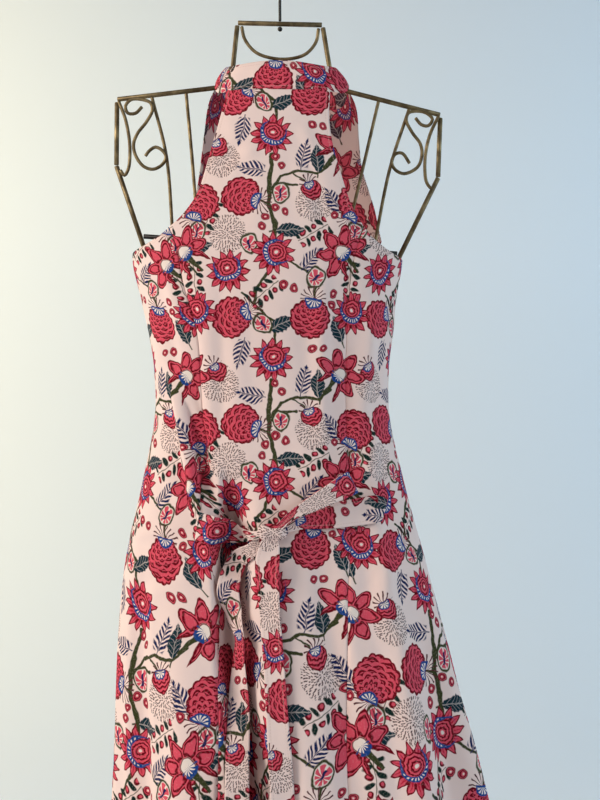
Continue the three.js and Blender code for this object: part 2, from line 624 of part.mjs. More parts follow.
// Every band runs into the knot and is cut off just clear of it
const knotSpace = toSolid(knotGeometry(GAP));
for (const [name, stations] of [
  ["tie_left", bandStations(TIE_LEFT)],
  ["tie_right", bandStations(TIE_RIGHT)],
  ["tail_left", bandStations(TAIL_LEFT)],
  ["tail_right", bandStations(TAIL_RIGHT)],
  ["bow_loop", loopStations()],
]) {
  add(name, toGeometry(toSolid(bandWall(stations)).subtract(knotSpace)), printed);
}
add("bow_knot", knotGeometry(0), printed);

add("hook_and_stem", wire(hookPoints(), STEM_RADIUS, 32), dark);
const ball = new THREE.SphereGeometry(BALL_RADIUS, 10, 8);
ball.translate(0, 0, onLine(NECK_TOP.left, NECK_TOP.right, 0) - BAR_RADIUS - GAP - BALL_RADIUS);
add("stem_ball", ball, dark);
add("neck_top_bar", wire([NECK_TOP.left, NECK_TOP.right], BAR_RADIUS, 1), brass);
add("neck_side_left", wire([[-44.6, -111.6], [-50.8, -171.4]], BAR_RADIUS, 1), brass);
add("neck_side_right", wire([[44.8, -113.7], [54.6, -173]], BAR_RADIUS, 1), brass);
add("neck_arc", wire(NECK_ARC, ROD_RADIUS, 14), brass);
add("shoulder_bar_left", wire([BAR_LEFT.inner, BAR_LEFT.corner], BAR_RADIUS, 1), brass);
add("shoulder_bar_right", wire([BAR_RIGHT.inner, BAR_RIGHT.corner], BAR_RADIUS, 1), brass);
for (const [side, ends] of Object.entries(SIDE_WIRES)) {
  const [bx, bz] = ends.bend;
  const lean = Math.sign(ends.foot[0] - bx) * 0.2;
  add(`side_wire_upper_${side}`, wire([ends.top, ends.bend], BAR_RADIUS, 1), brass);
  add(`side_wire_lower_${side}`, wire([[bx + lean, bz - 1.8], ends.foot], BAR_RADIUS, 1), brass);
}
add("chest_bar", wire([CHEST_BAR.left, CHEST_BAR.right], BAR_RADIUS, 1), dark);
for (const rod of RODS) add(rod.name, seatedRod(rod), brass);
add("scroll_left", wire(SCROLL_LEFT, ROD_RADIUS, 32, SCROLL_PLANE), brass);
add("scroll_right", wire(SCROLL_RIGHT, ROD_RADIUS, 32, SCROLL_PLANE), brass);
add("hairpin_left", wire(HAIRPIN_LEFT, ROD_RADIUS, 12, HAIRPIN_PLANE), brass);
add("hairpin_right", wire(HAIRPIN_RIGHT, ROD_RADIUS, 12, HAIRPIN_PLANE), brass);

export default dress;
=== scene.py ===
import math

import bpy
import numpy as np
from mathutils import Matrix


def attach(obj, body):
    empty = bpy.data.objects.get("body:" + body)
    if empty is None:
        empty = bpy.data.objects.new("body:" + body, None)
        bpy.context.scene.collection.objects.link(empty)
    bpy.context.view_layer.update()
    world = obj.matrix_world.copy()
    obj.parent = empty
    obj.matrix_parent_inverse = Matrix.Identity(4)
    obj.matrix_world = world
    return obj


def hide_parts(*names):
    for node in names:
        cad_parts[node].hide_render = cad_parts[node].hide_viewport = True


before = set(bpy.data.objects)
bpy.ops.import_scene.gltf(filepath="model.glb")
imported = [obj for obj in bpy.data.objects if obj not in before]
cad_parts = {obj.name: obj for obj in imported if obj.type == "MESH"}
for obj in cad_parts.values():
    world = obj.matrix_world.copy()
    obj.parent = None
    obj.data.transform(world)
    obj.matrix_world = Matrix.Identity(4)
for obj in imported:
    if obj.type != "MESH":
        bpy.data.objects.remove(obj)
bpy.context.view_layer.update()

# A racerback maxi dress on a wire torso hanger. Lengths here are millimetres in the frame's own axes:
# the origin is the inner top of the hanger's hook, -Y the dress's back, +X to its right, +Z up.
TO_METRES = 0.001

# Driving dimensions. The solids have the same, but thicker cloth and neither NECK_TUCK nor SEAM_PULL
HEM = -1550.0
CROSSING = -330.0
TIP_LEFT, TIP_RIGHT = -351.0, -358.0
COLLAR_SEAM = -190.6
ON_BAR_LEFT, ON_BAR_RIGHT = -173.2, -176.8
SEAM_GAP = 0.3
NECK_TUCK = 1.4
SEAM_PULL = 2.6
FABRIC = 0.7
DOUBLE_FABRIC = 1.5
BAR_RADIUS, ROD_RADIUS, STEM_RADIUS = 2.5, 1.75, 1.5


def table(columns, rows):
    """A table as a dict of its named columns."""
    return dict(zip(columns.split(), np.array(rows, float).T))


SECTIONS = table("z left right near far boxy", [
    (-155, -55.5, 57.5, 44, 41, 2.2),
    (-173, -67.5, 70.5, 46.5, 43, 2.25),
    (-191, -77, 80, 49, 46, 2.3),
    (-215, -91, 93, 53, 52, 2.4),
    (-245, -105, 104, 58, 58, 2.4),
    (-283, -123, 114, 65, 67, 2.4),
    (-315, -138, 120, 72, 76, 2.4),
    (-351, -153, 127, 79, 88, 2.35),
    (-398, -144.5, 121, 82, 92, 2.3),
    (-430, -137.5, 119, 80, 86, 2.3),
    (-470, -131.5, 115, 76, 79, 2.3),
    (-523, -130.5, 116, 74, 76, 2.3),
    (-585, -143, 129, 77, 82, 2.25),
    (-669, -160, 151, 87, 96, 2.2),
    (-752, -168, 174, 100, 112, 2.15),
    (-878, -168, 205, 118, 132, 2.1),
    (-1000, -172, 232, 134, 148, 2.05),
    (-1180, -186, 264, 156, 168, 2),
    (-1360, -204, 290, 176, 186, 2),
    (-1550, -222, 314, 194, 202, 2),
])
ARMHOLES = table("z backLeft backRight frontLeft frontRight", [
    (-172, -53.5, 51.5, -67, 70),
    (-195, -55, 51.4, -77.5, 80.5),
    (-221, -60.4, 50.4, -82.5, 84),
    (-250, -68.3, 54.4, -87, 87.5),
    (-275, -74.8, 61.4, -91.5, 95),
    (-295, -81, 67.6, -96.5, 101),
    (-310, -90, 73, -102, 104.5),
    (-322, -100, 80, -110, 107),
    (CROSSING, -109.5, 85, -117, 109.5),
])
SEAMS = table("z backLeft backRight frontLeft frontRight", [
    (CROSSING, -109.5, 85, -117, 109.5),
    (-352, -101, 77.5, -101, 92),
    (-387, -95, 69.4, -88, 78),
    (-440, -80.5, 68.7, -80, 69),
    (-512, -77.6, 68.7, -74, 64),
    (-600, -74, 72, -77, 70),
    (-640, -66, 71, -80, 75),
    (-700, -59.5, 67.5, -84, 82),
    (-880, -57, 68, -93, 101),
    (-1200, -62, 84, -106, 128),
    (HEM, -74, 104, -120, 150),
])
COLLAR_TOP = table("angle top", [
    (-180, -164), (-120, -160.5), (-90, -157.5), (-47, -162), (0, -160.4),
    (40, -163), (90, -158.5), (130, -160.5), (180, -164),
])
# Folds out (+) and in (-) at angles in degrees: depth, widths to both sides and the height they grow over.
# They reach the hem, or else the bottom that follows, and fade over the last number. The first is deepest.
FOLD_COLUMNS = "top start end depth left right grow bottom fade".split()
FOLDS = [dict(zip(FOLD_COLUMNS, (*row, HEM, 1))) for row in [
    (-560, -16.8, -17.2, -42, 3.2, 13.5, 90),
    (-620, -32, -36, 9, 14, 13, 240),
    (-640, 3, 3, 7, 7, 10, 300),
    (-560, 16, 16, -8, 7, 8, 220),
    (-600, 42, 27, 11, 9, 11, 160),
    (-640, 58, 47, -13, 11, 11, 260),
    (-680, 72, 66, 10, 9, 8, 240),
    (-700, 84, 80, -24, 8, 8, 190),
    (-720, 100, 97, 8, 10, 10, 240),
    (-610, -56, -57, -12, 10, 10, 260),
    (-700, -78, -76, 9, 11, 10, 300),
    (-740, -101, -99, -17, 10, 11, 300),
    (-680, 120, 119, -18, 11, 10, 280),
    (-640, 139, 140, 12, 11, 11, 300),
    (-620, 158, 160, -20, 10, 11, 300),
    (-600, 181, 181, 11, 11, 12, 300),
    (-640, 204, 203, -19, 11, 10, 280),
    (-660, 224, 223, 12, 10, 11, 300),
    (-700, 243, 242, -16, 10, 9, 300),
    (-452, -58, -21, 7.5, 6, 6, 70, -640, 60),
    (-480, -47, -12, -6, 6, 7, 60, -650, 50),
    (-520, 52, 40, 5, 9, 9, 60, -650, 60),
    (-500, 150, 158, -6, 10, 10, 70, -660, 70),
    (-500, 214, 206, -6, 10, 10, 70, -660, 70),
]]

# Creases: soft ridges (+) and troughs (-) between two points, with their depth and half width
BACK_CREASES = [
    (-128, -668, -78, -640, 2.2, 6),
    (-140, -690, -88, -655, -2.0, 7),
    (-150, -640, -96, -628, 1.8, 5),
    (-60, -275, -30, -236, -1.8, 7),
    (-52, -222, -24, -262, 1.4, 8),
    (30, -262, 46, -330, -1.7, 7),
    (24, -230, 40, -270, 1.2, 6),
    (-112, -372, -98, -430, 1.6, 6),
    (-104, -476, -78, -596, 3.4, 7),
    (-90, -470, -68, -560, -2.6, 6),
    (-120, -400, -100, -470, -1.8, 6),
    (-126, -432, -112, -520, 1.8, 6),
    (-126, -560, -92, -604, 1.8, 6),
    (100, -400, 84, -470, 1.8, 7),
    (108, -440, 88, -520, -1.8, 6),
    (104, -520, 84, -575, 2.2, 6),
    (112, -560, 84, -598, -1.6, 5),
    (90, -370, 86, -560, 2.8, 8),
    (56, -360, 58, -590, -3.6, 9),
    (44, -350, 46, -560, 1.4, 7),
    (-56, -370, -56, -570, -2.8, 9),
    (118, -640, 92, -720, 2.0, 9),
    (128, -660, 108, -760, -2.0, 9),
    (-20, -560, 10, -600, -1.3, 9),
    (20, -540, 46, -596, 1.3, 9),
    (-30, -400, -24, -520, -1.1, 9),
    (24, -420, 30, -540, -1.1, 8),
    (2, -400, -2, -560, 0.9, 9),
    (10, -240, 14, -330, -0.8, 8),
    (-20, -260, -22, -340, 0.8, 8),
]
FRONT_CREASES = [
    (-60, -300, -30, -262, 1.5, 8),
    (62, -300, 34, -262, 1.5, 8),
    (-96, -380, -60, -350, -1.7, 7),
    (92, -380, 60, -350, -1.7, 7),
    (-100, -420, -84, -500, 1.8, 7),
    (96, -420, 80, -500, 1.8, 7),
    (-90, -560, -60, -620, -2.0, 7),
    (86, -560, 60, -620, -2.0, 7),
    (-20, -560, -8, -640, 1.3, 8),
    (24, -560, 30, -640, -1.3, 8),
]
# Where the print lies on the side panels: along the sewn edge, its place across and how far it has slipped
GRAIN_LEFT = table("z u drop", [
    (CROSSING, -76, -14), (-371, -72, -12), (-424, -77, -4), (-485, -72, -2), (-600, -68, -8),
    (-675, -65, -15), (-724, -68, -21), (-850, -63, -22), (HEM, -60, -22),
])
GRAIN_RIGHT = table("z u drop", [
    (CROSSING, 88, 0), (-371, 80, 0), (-424, 77, 0), (-485, 76, 0), (-600, 76, -3), (-640, 73, -6),
    (-700, 66, -6), (-850, 58, -6), (HEM, 56, -6),
])
# Where the print lies on the collar, the height at which the centre panels' print starts, and its grain line
COLLAR_PRINT = (46.0, 220.0)
PRINT_TOP, GRAIN_X = -238.6, -7.0
STITCH_INSET, STITCH_PITCH, THREAD_PITCH = 3.4, 2.8, 0.55
# The second colour tints the cloth's inner faces: partly the wrong side of the print, partly painted shade
# of the dress's inside
THREAD, WRONG_SIDE_AND_SHADE = (214, 180, 168), (176, 84, 104)
RIPPLE_SEED, RIPPLES = 11, 14

BAND_COLUMNS = "x z wide lift turn"
TIE_LEFT = table(BAND_COLUMNS, [
    (-79, -625.1, 28, 1.3, 0),
    (-71, -626.6, 27.5, 2.6, -4),
    (-63.6, -628.4, 27, 3.6, -6),
    (-51, -631.8, 24, 5.5, -4),
    (-39, -635.2, 16, 9, 0),
    (-24, -633, 9, 10, 4),
    (-8, -629.3, 7, 11, 0),
])
TIE_RIGHT = table(BAND_COLUMNS, [
    (-2, -628.4, 7, 11, 0),
    (11, -624, 11, 8.5, 0),
    (19, -620.6, 14, 7, -8),
    (36, -617.5, 20, 4, -8),
    (54.7, -614.6, 25, 3.2, -8),
    (70, -612.6, 26, 2.9, -7),
    (83.6, -611.1, 27, 2.9, -7),
    (96.2, -609.2, 27, 2.6, -6),
    (104.5, -611, 22, 1.5, 0),
])
TAIL_RIGHT = table(BAND_COLUMNS, [
    (-5.5, -630, 12, 13, 0),
    (-8, -641, 19, 14, 0),
    (-10.5, -660, 24, 11, 8),
    (-9, -690, 21, 8, 14),
    (-6.6, -720, 20, 7, 12),
    (-3.3, -762, 20, 6, 6),
    (-0.4, -805, 21, 5, -4),
    (3.5, -860, 23, 4.5, -8),
    (5.5, -920, 24, 4, -4),
    (5, -980, 24, 3.5, 2),
    (4, -1035, 25, 3.5, 0),
])
TAIL_LEFT = table(BAND_COLUMNS, [
    (-12, -633, 7, 5.5, 0),
    (-26, -647, 14, 4.2, 0),
    (-40, -659, 19, 3.8, 0),
    (-49, -686, 22, 4.5, 4),
    (-43, -710, 20, 10, 36),
    (-37, -731, 18, 12, 62),
    (-38, -757, 19, 10, 48),
    (-38, -800, 22, 6, 14),
    (-38.5, -860, 23, 5, 4),
    (-38, -920, 24, 4, 0),
    (-37, -970, 24, 4, 0),
    (-36, -1015, 25, 4, 0),
])
LOOP = table(BAND_COLUMNS, [
    (-2, -626.4, 7, 18.5, 0),
    (14, -612.5, 9, 19, 0),
    (30, -603.5, 14, 19, 0),
    (46, -595.2, 18, 18, 0),
    (60, -588.2, 21, 16.5, 0),
    (70, -583.2, 23, 15, 0),
])
LOOP_DEPTH = 5.0
KNOT = dict(x=-5.5, z=-629.0, lift=12.0, half_wide=15.0, half_deep=9.5, half_high=9.0)
# Where the print lies on the loop and the knot, the least width that it takes on a band, and a band's strips
LOOP_PRINT, KNOT_PRINT = (-43.0, -52.0), (47.0, 558.0)
PRINT_WIDTH, BAND_STRIPS = 24.0, 13

BAR_LEFT = ((-51.2, -174.4), (-169.6, -188.4))
BAR_RIGHT = ((54.8, -176), (167, -204.6))
NECK_TOP = ((-43.8, -108.6), (43.8, -110.7))
CHEST_BAR = ((-142.2, -331.3), (122.2, -349.4))
SCROLL_PLANE, HAIRPIN_PLANE = -3.85, -4.6
WIRES = {
    "neck_side_left": [(-44.6, -111.6), (-50.8, -171.4)],
    "neck_side_right": [(44.8, -113.7), (54.6, -173)],
    "side_wire_upper_left": [(-170, -191.6), (-170.6, -256.8)],
    "side_wire_upper_right": [(167.2, -207.8), (164.9, -269.3)],
    "side_wire_lower_left": [(-170.6, -258), (-139.5, -350)],
    "side_wire_lower_right": [(164.9, -270.4), (118, -366)],
}
RODS = {
    "rod_outer_left": (-133.6, (-118.5, -248), -111.8),
    "rod_inner_left": (-97.9, (-91.2, -256), -85.2),
    "rod_inner_right": (102.8, (87, -258), 66.5),
    "rod_outer_right": (134.7, (114.8, -260), 97.6),
}
NECK_ARC = [
    (-40, -112.2), (-36.5, -126), (-24, -140), (2, -146.4), (26, -141.5), (37.5, -128.5), (40.3, -114.4),
]
SCROLL_LEFT = [
    (-143.3, -197), (-150.3, -203.8), (-158.2, -203.6), (-160.6, -196.4), (-155, -189.7), (-144, -189.4),
    (-134.6, -193), (-132.5, -200), (-138.2, -211.9), (-148.2, -225), (-152.2, -236), (-150.2, -247.4),
    (-141.9, -258.9), (-131.9, -262), (-122.1, -256.8), (-118.5, -249.1), (-122.1, -242.7), (-129.4, -239),
    (-135.7, -242.7), (-140, -248.4),
]
SCROLL_RIGHT = [
    (140.9, -208.6), (147.1, -215.6), (154.4, -216.7), (158.6, -210), (152.3, -203.6), (143, -201.6),
    (133.6, -203.6), (131.5, -211.4), (137.7, -224), (146.1, -235.9), (147.6, -248), (143, -259.9),
    (129.4, -266.6), (120, -262.6), (116.2, -254.7), (120, -246.3), (127, -245.3), (134.9, -255.9),
]
HAIRPIN_LEFT = [
    (-167.6, -191.4), (-160.7, -209.8), (-156.6, -231), (-156, -249.5), (-157.6, -262), (-161.6, -268.6),
    (-166, -263),
]
HAIRPIN_RIGHT = [
    (165.2, -206.7), (156.6, -224.4), (152, -242.2), (150.6, -261), (152.6, -276), (157.6, -282),
    (161.4, -277.5),
]
HOOK_INNER_RADIUS = 20.0
STEM_FOOT = -106.7
WIRE_SIDES, WIRE_RIM = 14, 0.45


# Camera, floor and light
CAMERA_PLACE, LENS, SENSOR = (0.02087, -1.2, -0.502), 51.75, 36.0
LIGHTS = [
    ("window", (-2.3, -1.2, 0.45), (0, 0, -0.7), (1.2, 1.7), 62, (1.0, 0.91, 0.81)),
    ("room", (2.4, -1.0, 0.2), (0, 0, -0.7), (1.2, 1.6), 29, (0.70, 0.88, 1.0)),
    ("fill", (-0.7, -2.8, 0.9), (0, 0, -0.5), (1.2, 1.2), 9, (1.0, 0.93, 0.86)),
    ("wall_left", (-3.4, 1.7, 0.9), (-1.3, 4.2, -0.3), (1.4, 1.6), 90, (1.0, 0.87, 0.52)),
    ("wall_right", (3.4, 1.6, 0.9), (0.9, 4.2, -0.3), (1.6, 1.6), 38, (0.34, 0.72, 1.0)),
]


def add_object(name, data):
    made = bpy.data.objects.new(name, data)
    bpy.context.scene.collection.objects.link(made)
    return made


def add_camera():
    """The photograph's view: level, square to the hanger, 1.2 m from it."""
    data = bpy.data.cameras.new("camera")
    data.sensor_width, data.lens = SENSOR, LENS
    camera = add_object("camera", data)
    camera.location = CAMERA_PLACE
    camera.rotation_euler = (math.pi / 2, 0, 0)
    bpy.context.scene.camera = camera


def add_mesh(name, vertices, faces):
    """A smooth mesh object from millimetres."""
    mesh = bpy.data.meshes.new(name)
    mesh.from_pydata((np.asarray(vertices) * TO_METRES).tolist(), [], faces)
    mesh.validate()
    mesh.polygons.foreach_set("use_smooth", [True] * len(mesh.polygons))
    return add_object(name, mesh)


def add_stage():
    """A pale sweep: a floor below the hem that curves up into a wall well behind the dress."""
    floor, front, back, bend, height, half, steps = -1620.0, -5000.0, 4200.0, 1800.0, 3200.0, 6500.0, 16
    profile = [(front, floor)]
    for step in range(steps + 1):
        turn = math.pi / 2 * step / steps
        profile.append((back - bend + bend * math.sin(turn), floor + bend - bend * math.cos(turn)))
    profile.append((back, height))
    vertices = [(x, y, z) for y, z in profile for x in (-half, half)]
    faces = [(2 * i, 2 * i + 1, 2 * i + 3, 2 * i + 2) for i in range(len(profile) - 1)]
    sweep = add_mesh("sweep", vertices, faces)
    finish, tree, shader = new_material("pale_wall")
    fill(tree, shader, {"Base Color": (0.84, 0.87, 0.93, 1), "Roughness": 0.9})
    sweep.data.materials.append(finish)


def add_area_light(name, place, aim, size, power, colour):
    data = bpy.data.lights.new(name, "AREA")
    data.shape, data.energy, data.color = "RECTANGLE", power, colour
    data.size, data.size_y = size
    lamp = add_object(name, data)
    lamp.location = place
    right, ahead, up = np.array(aim) - np.array(place)
    lamp.rotation_euler = (math.atan2(math.hypot(right, ahead), -up), 0, math.atan2(right, -ahead) + math.pi)


def add_lights():
    for light in LIGHTS:
        add_area_light(*light)
    world = bpy.data.worlds.new("room_light")
    world.use_nodes = True
    tree = world.node_tree
    fill(tree, tree.nodes["Background"], {"Color": (0.78, 0.88, 1.0, 1), "Strength": 0.20})
    bpy.context.scene.world = world
    bpy.context.scene.view_settings.view_transform = "Standard"


# Shader nodes
def linear(colour):
    """An sRGB colour of 0 to 255 as linear light."""
    shares = [c / 255 for c in colour]
    return [s / 12.92 if s <= 0.04045 else ((s + 0.055) / 1.055) ** 2.4 for s in shares] + [1.0]


def feed(tree, socket, value):
    if isinstance(value, Number):
        value = value.socket
    if hasattr(value, "is_output"):
        tree.links.new(value, socket)
    else:
        socket.default_value = value


def fill(tree, node, values):
    """Values or links for a node's inputs, in turn or by the inputs' names or numbers."""
    for key, value in values.items() if isinstance(values, dict) else enumerate(values):
        feed(tree, node.inputs[key], value)


def add_node(tree, kind, values=(), **settings):
    """A shader node with its settings and inputs. It gives the node's outputs."""
    node = tree.nodes.new("ShaderNode" + kind)
    for name, value in settings.items():
        setattr(node, name, value)
    fill(tree, node, values)
    return node.outputs


def operator(operation):
    """A method that works the operation out of a number and any others."""
    return lambda number, *others: number.made(operation, number, *others)


class Number:
    """A number that shader nodes work out, so that a formula for it reads as a formula."""

    def __init__(self, tree, socket):
        self.tree, self.socket = tree, socket

    def made(self, operation, *values, clamp=False):
        outputs = add_node(self.tree, "Math", values, operation=operation, use_clamp=clamp)
        return Number(self.tree, outputs[0])

    __add__ = __radd__ = operator("ADD")
    __mul__ = __rmul__ = operator("MULTIPLY")
    __sub__, __truediv__, __abs__ = operator("SUBTRACT"), operator("DIVIDE"), operator("ABSOLUTE")
    least, most, root = operator("MINIMUM"), operator("MAXIMUM"), operator("SQRT")
    sine, fraction, floor = operator("SINE"), operator("FRACT"), operator("FLOOR")

    def __rsub__(self, other):
        return self.made("SUBTRACT", other, self)

    def inside(self, blur=0.7):
        """1 where a distance in millimetres is above 0, 0 where it is below, soft between."""
        return self.made("MULTIPLY_ADD", self, 1 / blur, 0.5, clamp=True)


def vector_node(tree, operation, *values):
    return add_node(tree, "VectorMath", values, operation=operation)


def measure(tree, operation, *vectors):
    """The number that a length or a dot product gives."""
    return Number(tree, vector_node(tree, operation, *vectors)[1])


def numbers(tree, vector):
    """A vector's three numbers."""
    return [Number(tree, socket) for socket in add_node(tree, "SeparateXYZ", [vector])]


def noise(tree, vector, scale, detail, dimensions="2D"):
    values = {"Vector": vector, "Scale": scale, "Detail": detail}
    return add_node(tree, "TexNoise", values, noise_dimensions=dimensions)


def angle_of(y, x):
    return y.made("ARCTAN2", y, x)


def distance(x, y):
    return (x * x + y * y).root()


def mixed(tree, kind, share, a, b):
    """A mix of two colours (RGBA) or two vectors (VECTOR)."""
    first, out = (6, 2) if kind == "RGBA" else (4, 1)
    return add_node(tree, "Mix", {0: share, first: a, first + 1: b}, data_type=kind)[out]


def node_group(name, kinds, draw):
    """A node group with an input of each kind, for the colour that draw(tree, *inputs) gives."""
    tree = bpy.data.node_groups.new(name, "ShaderNodeTree")
    for kind in kinds:
        tree.interface.new_socket(kind, in_out="INPUT", socket_type="NodeSocket" + kind)
    tree.interface.new_socket("Colour", in_out="OUTPUT", socket_type="NodeSocketColor")
    entry, leave = tree.nodes.new("NodeGroupInput"), tree.nodes.new("NodeGroupOutput")
    feed(tree, leave.inputs[0], draw(tree, *entry.outputs[:len(kinds)]))
    return tree


def new_material(name):
    made = bpy.data.materials.new(name)
    made.use_nodes = True
    return made, made.node_tree, made.node_tree.nodes["Principled BSDF"]


def bumped(tree, height, strength, metres):
    return add_node(tree, "Bump", {"Strength": strength, "Distance": metres, "Height": height})[0]


# The print: a repeat of flowers, leaves and berries on vines, drawn by formulas in millimetres
REPEAT = (157.3, 224.0)
PRINT_UNIT = 0.983
GROUND = (240, 214, 205)
PINK, ROSE, CRIMSON, MAROON = (216, 78, 96), (184, 34, 58), (106, 0, 20), (60, 12, 22)
NAVY, BLUE, TEAL, OLIVE = (16, 30, 78), (24, 66, 132), (8, 46, 50), (58, 62, 34)
DARK_LEAF, CREAM, INK = (14, 40, 34), (238, 222, 210), (84, 38, 42)

# Places of each motif in one repeat: right and down from the first sunflower in print units, turn in degrees
SUNFLOWERS = [(0, 0, -28), (2, 122, -80), (-43, 140, 22), (84, 181, 0)]
POMPOMS = [(-31, 64, 75), (-40, 186, 110), (39, 187, 172), (87, 69, -22)]
LOTUSES = [(72, 121, 45), (70, 15, -45)]
STRAWBERRIES = [(40, 57, 18), (-55, 12, 32)]
SPRAYS = [(43, 71, 0), (-52, 24, 10), (-44, 102, 0)]
LEAVES = [(46, 23, 3), (19, 99, -88), (-73, 116, -74), (12, 192, -66), (68, 196, 22)]
SPRIGS = [(-30, -7, 168), (32, 21, -12), (40, 128, -42), (-20, 35, 80), (63, 68, 35)]
BUDS = [(9, 61, 0), (-22, 113, 12), (44, 147, -30), (-8, 193, 40), (85, 100, -10)]
BERRY_PAIRS = [
    (7, 27, -50), (-8, 90, 75), (9, 78, -25), (69, 82, 0), (17, 155, -20), (62, 168, 85), (46, 217, 0),
]
TWIGS = [(-64, 84, -22), (42, 101, -60), (-7, 161, -52), (82, 148, 4)]
VINE_CENTRE = (10, 100)
VINES = [
    (2.2, [(0, 20), (-2, 48), (-3, 72), (3, 92), (4, 114)]),
    (1.4, [(-1, 57), (9, 43), (26, 37), (46, 39), (60, 29)]),
    (0.8, [(20, 39), (33, 47), (38, 56)]),
    (1.3, [(0, 60), (9, 51), (25, 52)]),
    (1.0, [(-4, 72), (-19, 65)]),
    (1.5, [(-1, 138), (-15, 158), (-17, 173), (-6, 184), (4, 191), (3, 212)]),
    (1.1, [(-29, 162), (-17, 173)]),
    (1.1, [(18, 130), (36, 141)]),
    (1.1, [(44, 156), (42, 172)]),
    (1.4, [(86, 86), (80, 108)]),
    (1.0, [(74, 128), (84, 142)]),
]
TWIG_STEP = 6.6
# Half of a repeat in the third number, which holds turns and so is never wrapped
UNWRAPPED = 50.0


def print_place(x, y):
    return x * PRINT_UNIT, -y * PRINT_UNIT


def from_place(tree, cloth, place, turn=0.0):
    """The way from the nearest repeat of a place to a point of the cloth, with its turn as third number."""
    away = vector_node(tree, "SUBTRACT", cloth, (*print_place(*place), -math.radians(turn)))[0]
    half = (REPEAT[0] / 2, REPEAT[1] / 2, UNWRAPPED)
    return vector_node(tree, "WRAP", away, half, tuple(-h for h in half))[0]


def nearest_place(tree, cloth, places):
    """A motif's own x and y at a point of the cloth, from the nearest of its places in the repeat."""
    best = None
    for right, down, turn in places:
        here = from_place(tree, cloth, (right, down), turn)
        far = measure(tree, "LENGTH", here)
        if best is None:
            best, best_far = here, far
        else:
            nearer = far.made("LESS_THAN", far, best_far)
            best, best_far = mixed(tree, "VECTOR", nearer, best, here), best_far.least(far)
    values = {"Vector": best, "Angle": numbers(tree, best)[2]}
    turned = add_node(tree, "VectorRotate", values, rotation_type="Z_AXIS", invert=True)[0]
    return numbers(tree, turned)[:2]


# Each motif gives its layers: the distance inside the edge, the colour and, where it is thin, the strength
def sunflower(x, y):
    """Thirteen pointed petals round a scalloped disc, with a beaded crescent below it."""
    r, turn = distance(x, y), angle_of(y, x)
    valley = abs((turn * (13 / math.tau) + 0.3).fraction() * 2 - 1)
    petal = 22.3 - valley * 7.2 - r
    line = (petal - 0.3).least((1 - valley) * r * 0.24 + (11.5 - r).most(0) * 3)
    rib = (0.5 - valley * r * 0.24 + (15.5 - r) * 0.14).least(petal)
    q = distance(x, y - 3)
    disc = 10.8 - q
    rings = (q * 0.31 + abs((turn * 7).sine()) * 0.2).fraction()
    crescent = (13.2 - q).least(distance(x, y - 6) - 10.8)
    beads = (crescent - 1.3).least(1.7 - abs((turn * 9).sine()) * 3)
    return [
        (petal, PINK), (rib, ROSE), (petal.least(1.5 - line), CRIMSON), (disc, PINK),
        (disc.least((0.45 - rings) * 5), CRIMSON), (1.5 - q, CREAM), (crescent, BLUE), (beads, CREAM),
    ]


def pompom(x, y):
    """A round flower of scalloped rows about its calyx, which has stamens."""
    scallop = abs((angle_of(y, x) * 8.5).sine())
    edge = 18.8 + scallop * 1.3 - distance(x, y)
    rho, phi = distance(x, y + 14), angle_of(x, y + 14)
    row = rho / 4.7
    wave = abs((phi * 6.5 + row.floor() * 1.571).sine())
    scales = (row - wave * 0.55).fraction()
    q, fan = distance(x, y + 18.5), angle_of(x, y + 18.5)
    calyx = (8.4 - q).least(y + 19.5)
    stamens = (13.5 - q).least(-14.5 - y).least(((fan * 17).sine() - 0.62) * 1.6)
    strokes = (calyx - 1.8).least(abs((fan * 6).sine()) * 3 - 2.1)
    return [
        (stamens, INK), (edge, ROSE), (edge.least((0.68 - scales) * 4), PINK),
        (edge.least(1.6 - edge), CRIMSON), (edge.least((0.2 - abs(scales - 0.8)) * 5), CRIMSON),
        (calyx, BLUE), (strokes, CREAM),
    ]


def lotus(x, y):
    """Six broad petals with a dark outline and an inner line, a cream heart and a thick stem."""
    x, y = x * 0.97, y * 0.97
    r, turn = distance(x, y), angle_of(x, y)
    petals = turn * (7 / math.tau) + 0.5
    across = (petals.fraction() - 0.5) * r * (math.tau / 7)
    long = (r - 15.5) / (11.2 + (petals.floor() * 2.4).sine() * 1.8)
    wide = across * (long * 0.38 + 1)
    oval = long * long + wide * wide * (1 / 7.2 ** 2)
    shown = ((2.62 - abs(turn)) * r).least((1 - oval) * 6)
    curl = shown.least(1.05 - abs(oval - 0.36 - (across * 1.1).sine() * 0.07) * 9)
    stem = (3.1 + y * 0.07 - abs(x)).least(-2.5 - y).least(y + 25)
    heart = 6.8 - distance(x, y - 0.5)
    strokes = (heart + 1.5).least(1.5 - y - abs((turn * 5.5).sine()) * 6.5).least(y + 9)
    return [
        (shown, PINK), (shown.least(1.9 - shown), CRIMSON), (curl, CRIMSON), (stem, OLIVE), (heart, CREAM),
        (heart.least(0.9 - heart), CRIMSON), (strokes, BLUE),
    ]


def strawberry(x, y):
    """A small heart-shaped flower with crimson rows under a blue and white calyx."""
    edge = 9.6 - distance(x * 0.95, y - abs(x) * 0.28 + 0.6)
    rho, phi = distance(x, y - 7), angle_of(x, 7 - y)
    rows = (rho * 0.3 - abs((phi * 5).sine()) * 0.35).fraction()
    calyx = (5.6 - rho).least(9.5 - y)
    fan = (10.5 - rho).least(y - 7.5).least(((phi * 13).sine() - 0.55) * 1.8)
    return [
        (edge, PINK), (edge.least((0.5 - rows) * 3), CRIMSON), (edge.least(1.1 - edge), CRIMSON),
        (calyx, BLUE), ((calyx - 1.2).least(abs((phi * 4).sine()) * 3 - 1.5), CREAM), (fan, INK),
    ]


